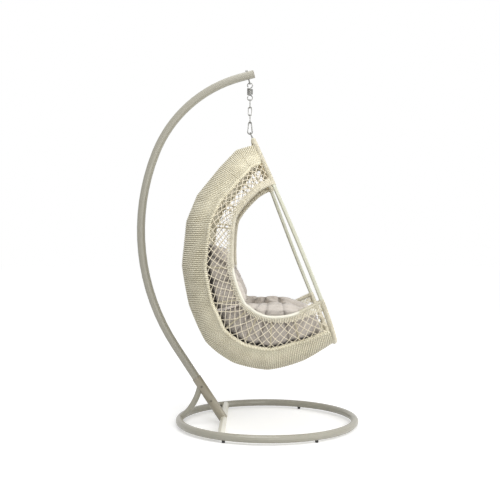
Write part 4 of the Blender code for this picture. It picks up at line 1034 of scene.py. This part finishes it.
# %% Places on the basket in side view
ray_times = np.linspace(0.0, LAST, 441)
ray_starts = np.array([spine_at(t) for t in ray_times])
ray_runs = np.array([smooth(rim_rows, t) for t in ray_times]) - ray_starts
ray_lengths = np.linalg.norm(ray_runs, axis=1)
ray_runs /= ray_lengths[:, None]
half_times, half_depths = np.linspace(0.0, LAST, 89), np.linspace(0.0, 1.0, 21)
half_widths = np.array([[abs(skin(t, d)[1]) for d in half_depths] for t in half_times])


def off_ray(flat, i):
    """How far points lie beside ray i, and how far along it."""
    offset = flat - ray_starts[i]
    beside = np.abs(offset[:, 0] * ray_runs[i, 1] - offset[:, 1] * ray_runs[i, 0])
    return beside, offset @ ray_runs[i]


def side_place(points):
    """For each point: its t, how far it lies from the spine, and the number of its ray."""
    flat = points[:, [0, 2]]
    best, away = np.full(len(flat), 1e9), np.zeros(len(flat))
    number = np.zeros(len(flat), int)
    for i in range(len(ray_times)):
        beside, along = off_ray(flat, i)
        score = beside + np.maximum(0.0, -0.04 - along) * 4
        nearer = score < best
        best[nearer], number[nearer], away[nearer] = score[nearer], i, along[nearer]
    return ray_times[number], away, number


def half_width(t, d):
    """The basket's half width, read off a table."""
    row = np.clip(t / LAST * (len(half_times) - 1), 0, len(half_times) - 1.001)
    column = np.clip(d, 0, 0.999) * (len(half_depths) - 1)
    i, j = row.astype(int), column.astype(int)
    f, g = row - i, column - j
    top = half_widths[i, j] * (1 - g) + half_widths[i, j + 1] * g
    low = half_widths[i + 1, j] * (1 - g) + half_widths[i + 1, j + 1] * g
    return top * (1 - f) + low * f


def ease(value, low, high):
    f = np.clip((value - low) / (high - low), 0, 1)
    return f * f * (3 - 2 * f)


# %% Sewing
PAD_ROUNDING = 0.034  # of the pads' edges along the band
CHANNEL_PULL, TUFT_PULL, TUFT_RAY, PUCKER = 0.012, 0.015, 0.0025, 0.0036
CHANNEL_WIDTH, TUFT_WIDTH = 0.011, 0.020
LOOSE = 0.009  # the gap along the band, and what it grows by where a pad stands off
# The most painted shade that any point of a pad gets.
DARKEST = 0.92
# Each channel's row, with how far its tufts are from the middle.
SEAT_CHANNELS = {7.45: (-0.14, 0.14), 8.55: (-0.21, 0.0, 0.21), 9.65: (-0.12, 0.12)}
BACK_CHANNELS = {5.35: (-0.15, 0.0, 0.15)}


def sew(obj, channels, loose_from, loose_to):
    """Presses channels, tufts and creases into a pad, and marks painted shade in them, on its sides
    and along the band.
    """
    mesh = obj.data
    co, normals = read_points(mesh)
    count = len(co)
    t, away, number = side_place(co)
    depth = ray_lengths[number]
    width = half_width(t, away / depth)
    flank = ease(np.abs(co[:, 1]) / width, 0.72, 0.92)
    facing = normals[:, 0] * ray_runs[number, 0] + normals[:, 2] * ray_runs[number, 1]
    inner = ease(facing, 0.25, 0.6)
    # Painted shade: some on the sides that face out, more in seams, tufts, creases and the gap.
    push, shade_share = np.zeros(count), 0.16 * flank * (1 - inner)
    for channel, tufts in channels.items():
        gap, _ = off_ray(co[:, [0, 2]], np.abs(ray_times - channel).argmin())
        line = np.exp(-gap / CHANNEL_WIDTH)
        push += CHANNEL_PULL * line * (1 - 0.45 * inner)
        shade_share += 0.42 * np.exp(-((gap / 0.0065) ** 2)) * (1 - 0.3 * inner)
        for tuft in tufts:
            off = np.hypot(gap, co[:, 1] - tuft)
            push += TUFT_PULL * np.exp(-((off / TUFT_WIDTH) ** 2)) * inner
            shade_share += 0.5 * np.exp(-((off / 0.010) ** 2)) * inner
            angle = np.arctan2(gap, co[:, 1] - tuft)
            rays = np.maximum(0.0, np.cos(5 * angle)) ** 3 * np.exp(-((off - 0.03) / 0.025) ** 2)
            push += TUFT_RAY * rays * inner
            shade_share += 0.08 * rays * inner
    folds = np.array([
        abs(mathnoise.noise((p[0] * 17, p[1] * 8, p[2] * 17)))
        + 0.5 * abs(mathnoise.noise((p[0] * 37, p[1] * 19, p[2] * 37)))
        for p in co
    ])
    crease = np.clip(1 - folds / 0.16, 0, 1)
    push += PUCKER * crease * (0.45 + 0.55 * flank)
    shade_share += 0.16 * crease * (0.3 + 0.7 * flank)
    co -= normals * push[:, None]
    along_band = away - np.interp(t, grid, rail_edge) * depth
    along_band -= LOOSE + LOOSE * ease(t, loose_from, loose_from + 0.3) * (
        1 - ease(t, loose_to - 0.4, loose_to))
    edge = np.clip(1 - along_band / PAD_ROUNDING, 0, 1)
    roll = PAD_ROUNDING * (1 - np.sqrt(np.maximum(0.0, 1 - edge**2)))
    co[:, 1] -= np.sign(co[:, 1]) * roll * flank
    # Painted shade in the gap along the band.
    shade_share += 0.9 * np.clip(1 - along_band / 0.014, 0, 1) ** 0.7 * flank
    write_points(mesh, co)
    mark_points(mesh, "drawn_in", np.clip(shade_share, 0, DARKEST))
    mesh.update()
    print("%s: %d points, drawn in %.1f mm at most" % (obj.name, count, 1000 * push.max()))


sew(seat, SEAT_CHANNELS, 6.0, 6.2)
sew(back, BACK_CHANNELS, 4.3, 6.6)

# %% The back pad's upper lip, which slopes down to the front, with a fold below it
LIP_AHEAD, LIP_LIFT = (-0.245, -0.11), (0.010, -0.022)
FOLD_FROM, FOLD_TO = (-0.262, 0.972), (-0.139, 0.893)
FOLD_DEPTH, FOLD_WIDTH = 0.013, 0.012

mesh = back.data
co, _ = read_points(mesh)
ahead = co[:, 0] - hang_x
co[:, 2] += np.interp(ahead, LIP_AHEAD, LIP_LIFT) * ease(co[:, 2], 0.93, 0.975)
fold_from, fold_to = np.array(FOLD_FROM), np.array(FOLD_TO)
fold_run = (fold_to - fold_from) / np.linalg.norm(fold_to - fold_from)
gap = (ahead - fold_from[0]) * fold_run[1] - (co[:, 2] - fold_from[1]) * fold_run[0]
side = ease(np.abs(co[:, 1]), 0.24, 0.31)
co[:, 1] -= np.sign(co[:, 1]) * side * FOLD_DEPTH * np.exp(-np.abs(gap) / FOLD_WIDTH)
shade_share = np.empty(len(mesh.vertices), np.float32)
mesh.attributes["drawn_in"].data.foreach_get("value", shade_share)
# Painted shade along the fold.
shade_share = np.clip(shade_share + side * 0.45 * np.exp(-((gap / 0.011) ** 2)), 0, DARKEST)
mesh.attributes["drawn_in"].data.foreach_set("value", shade_share.astype(np.float32))
write_points(mesh, co)
mesh.update()

# %% Pads to bodies
for pad, cad in ((seat, "seat_cushion"), (back, "back_cushion")):
    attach(pad, "basket")
    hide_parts(cad)

# %% [markdown]
# ## Studio
# A white floor and a white surround, with wide soft lamps. The floor shows its own light to
# the camera, so that it stays white and still holds the chair's soft shadow.

# %% Studio
FLOOR_GLOW, FLOOR_DIP, DIP_RADIUS = 0.56, 0.22, 2.2
SKY_LIGHT, SKY_SEEN = 0.52, 1.0


def seen_directly(tree):
    """1 for the rays that show the studio itself, and 0 for those that light the chair."""
    rays = node(tree, "ShaderNodeLightPath").outputs
    mirrored = calc(tree, "MAXIMUM", rays["Is Glossy Ray"], rays["Is Transmission Ray"])
    return calc(tree, "MAXIMUM", rays["Is Camera Ray"], mirrored)


bpy.ops.object.select_all(action="DESELECT")
bpy.ops.mesh.primitive_plane_add(size=80, location=(0, 0, 0))
floor = bpy.context.object
floor.name = "floor"
floor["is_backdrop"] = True
floor_paint = bpy.data.materials.new("studio_floor")
floor_paint.use_nodes = True
tree = floor_paint.node_tree
tree.nodes.clear()
seen = seen_directly(tree)
paint = node(tree, "ShaderNodeBsdfDiffuse", {"Color": (0.86, 0.86, 0.86, 1)})
# The lamps light the middle of the floor, so it needs less light of its own there.
away = node(tree, "ShaderNodeVectorMath", {0: object_place(tree)}, operation="LENGTH")
away = calc(tree, "DIVIDE", away.outputs["Value"], DIP_RADIUS)
middle = calc(tree, "MULTIPLY", calc(tree, "POWER", away, 2.0), -1.0)
middle = calc(tree, "EXPONENT", middle)
lit = calc(tree, "SUBTRACT", FLOOR_GLOW, calc(tree, "MULTIPLY", middle, FLOOR_DIP))
strength = calc(tree, "MULTIPLY", seen, lit)
glow = node(tree, "ShaderNodeEmission", {"Color": (1, 1, 1, 1), "Strength": strength})
both = node(tree, "ShaderNodeAddShader", {0: paint.outputs[0], 1: glow.outputs[0]})
node(tree, "ShaderNodeOutputMaterial", {"Surface": both.outputs[0]})
finish_piece(floor, floor_paint)

world = bpy.data.worlds.new("studio")
bpy.context.scene.world = world
world.use_nodes = True
tree = world.node_tree
tree.nodes.clear()
strength = remap(tree, seen_directly(tree), 0.0, 1.0, SKY_LIGHT, SKY_SEEN)
sky = node(tree, "ShaderNodeBackground", {"Color": (1, 1, 1, 1), "Strength": strength})
node(tree, "ShaderNodeOutputWorld", {"Surface": sky.outputs[0]})


def soft_lamp(name, place, aim, size, power):
    lamp = bpy.data.lights.new(name, "AREA")
    lamp.shape, lamp.size, lamp.energy = "DISK", size, power
    obj = bpy.data.objects.new(name, lamp)
    obj.location = place
    obj.rotation_euler = (Vector(aim) - Vector(place)).to_track_quat("-Z", "Y").to_euler()
    bpy.context.scene.collection.objects.link(obj)


soft_lamp("key_lamp", (1.3, -4.4, 2.9), (0, 0, 0.9), 2.4, 92)
soft_lamp("front_lamp", (3.4, -1.6, 2.2), (0, 0, 1.0), 2.4, 60)
soft_lamp("top_lamp", (-0.4, -0.8, 4.3), (0, 0, 0.9), 2.6, 60)

# %% Sizes
low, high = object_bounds()
({"cad": [list(map(float, cad_low)), list(map(float, cad_high))],
           "visual": [list(map(float, low)), list(map(float, high))]})
print("cad box", [round(float(v), 4) for v in (*cad_low, *cad_high)])
print("visual box", [round(float(v), 4) for v in (*low, *high)])
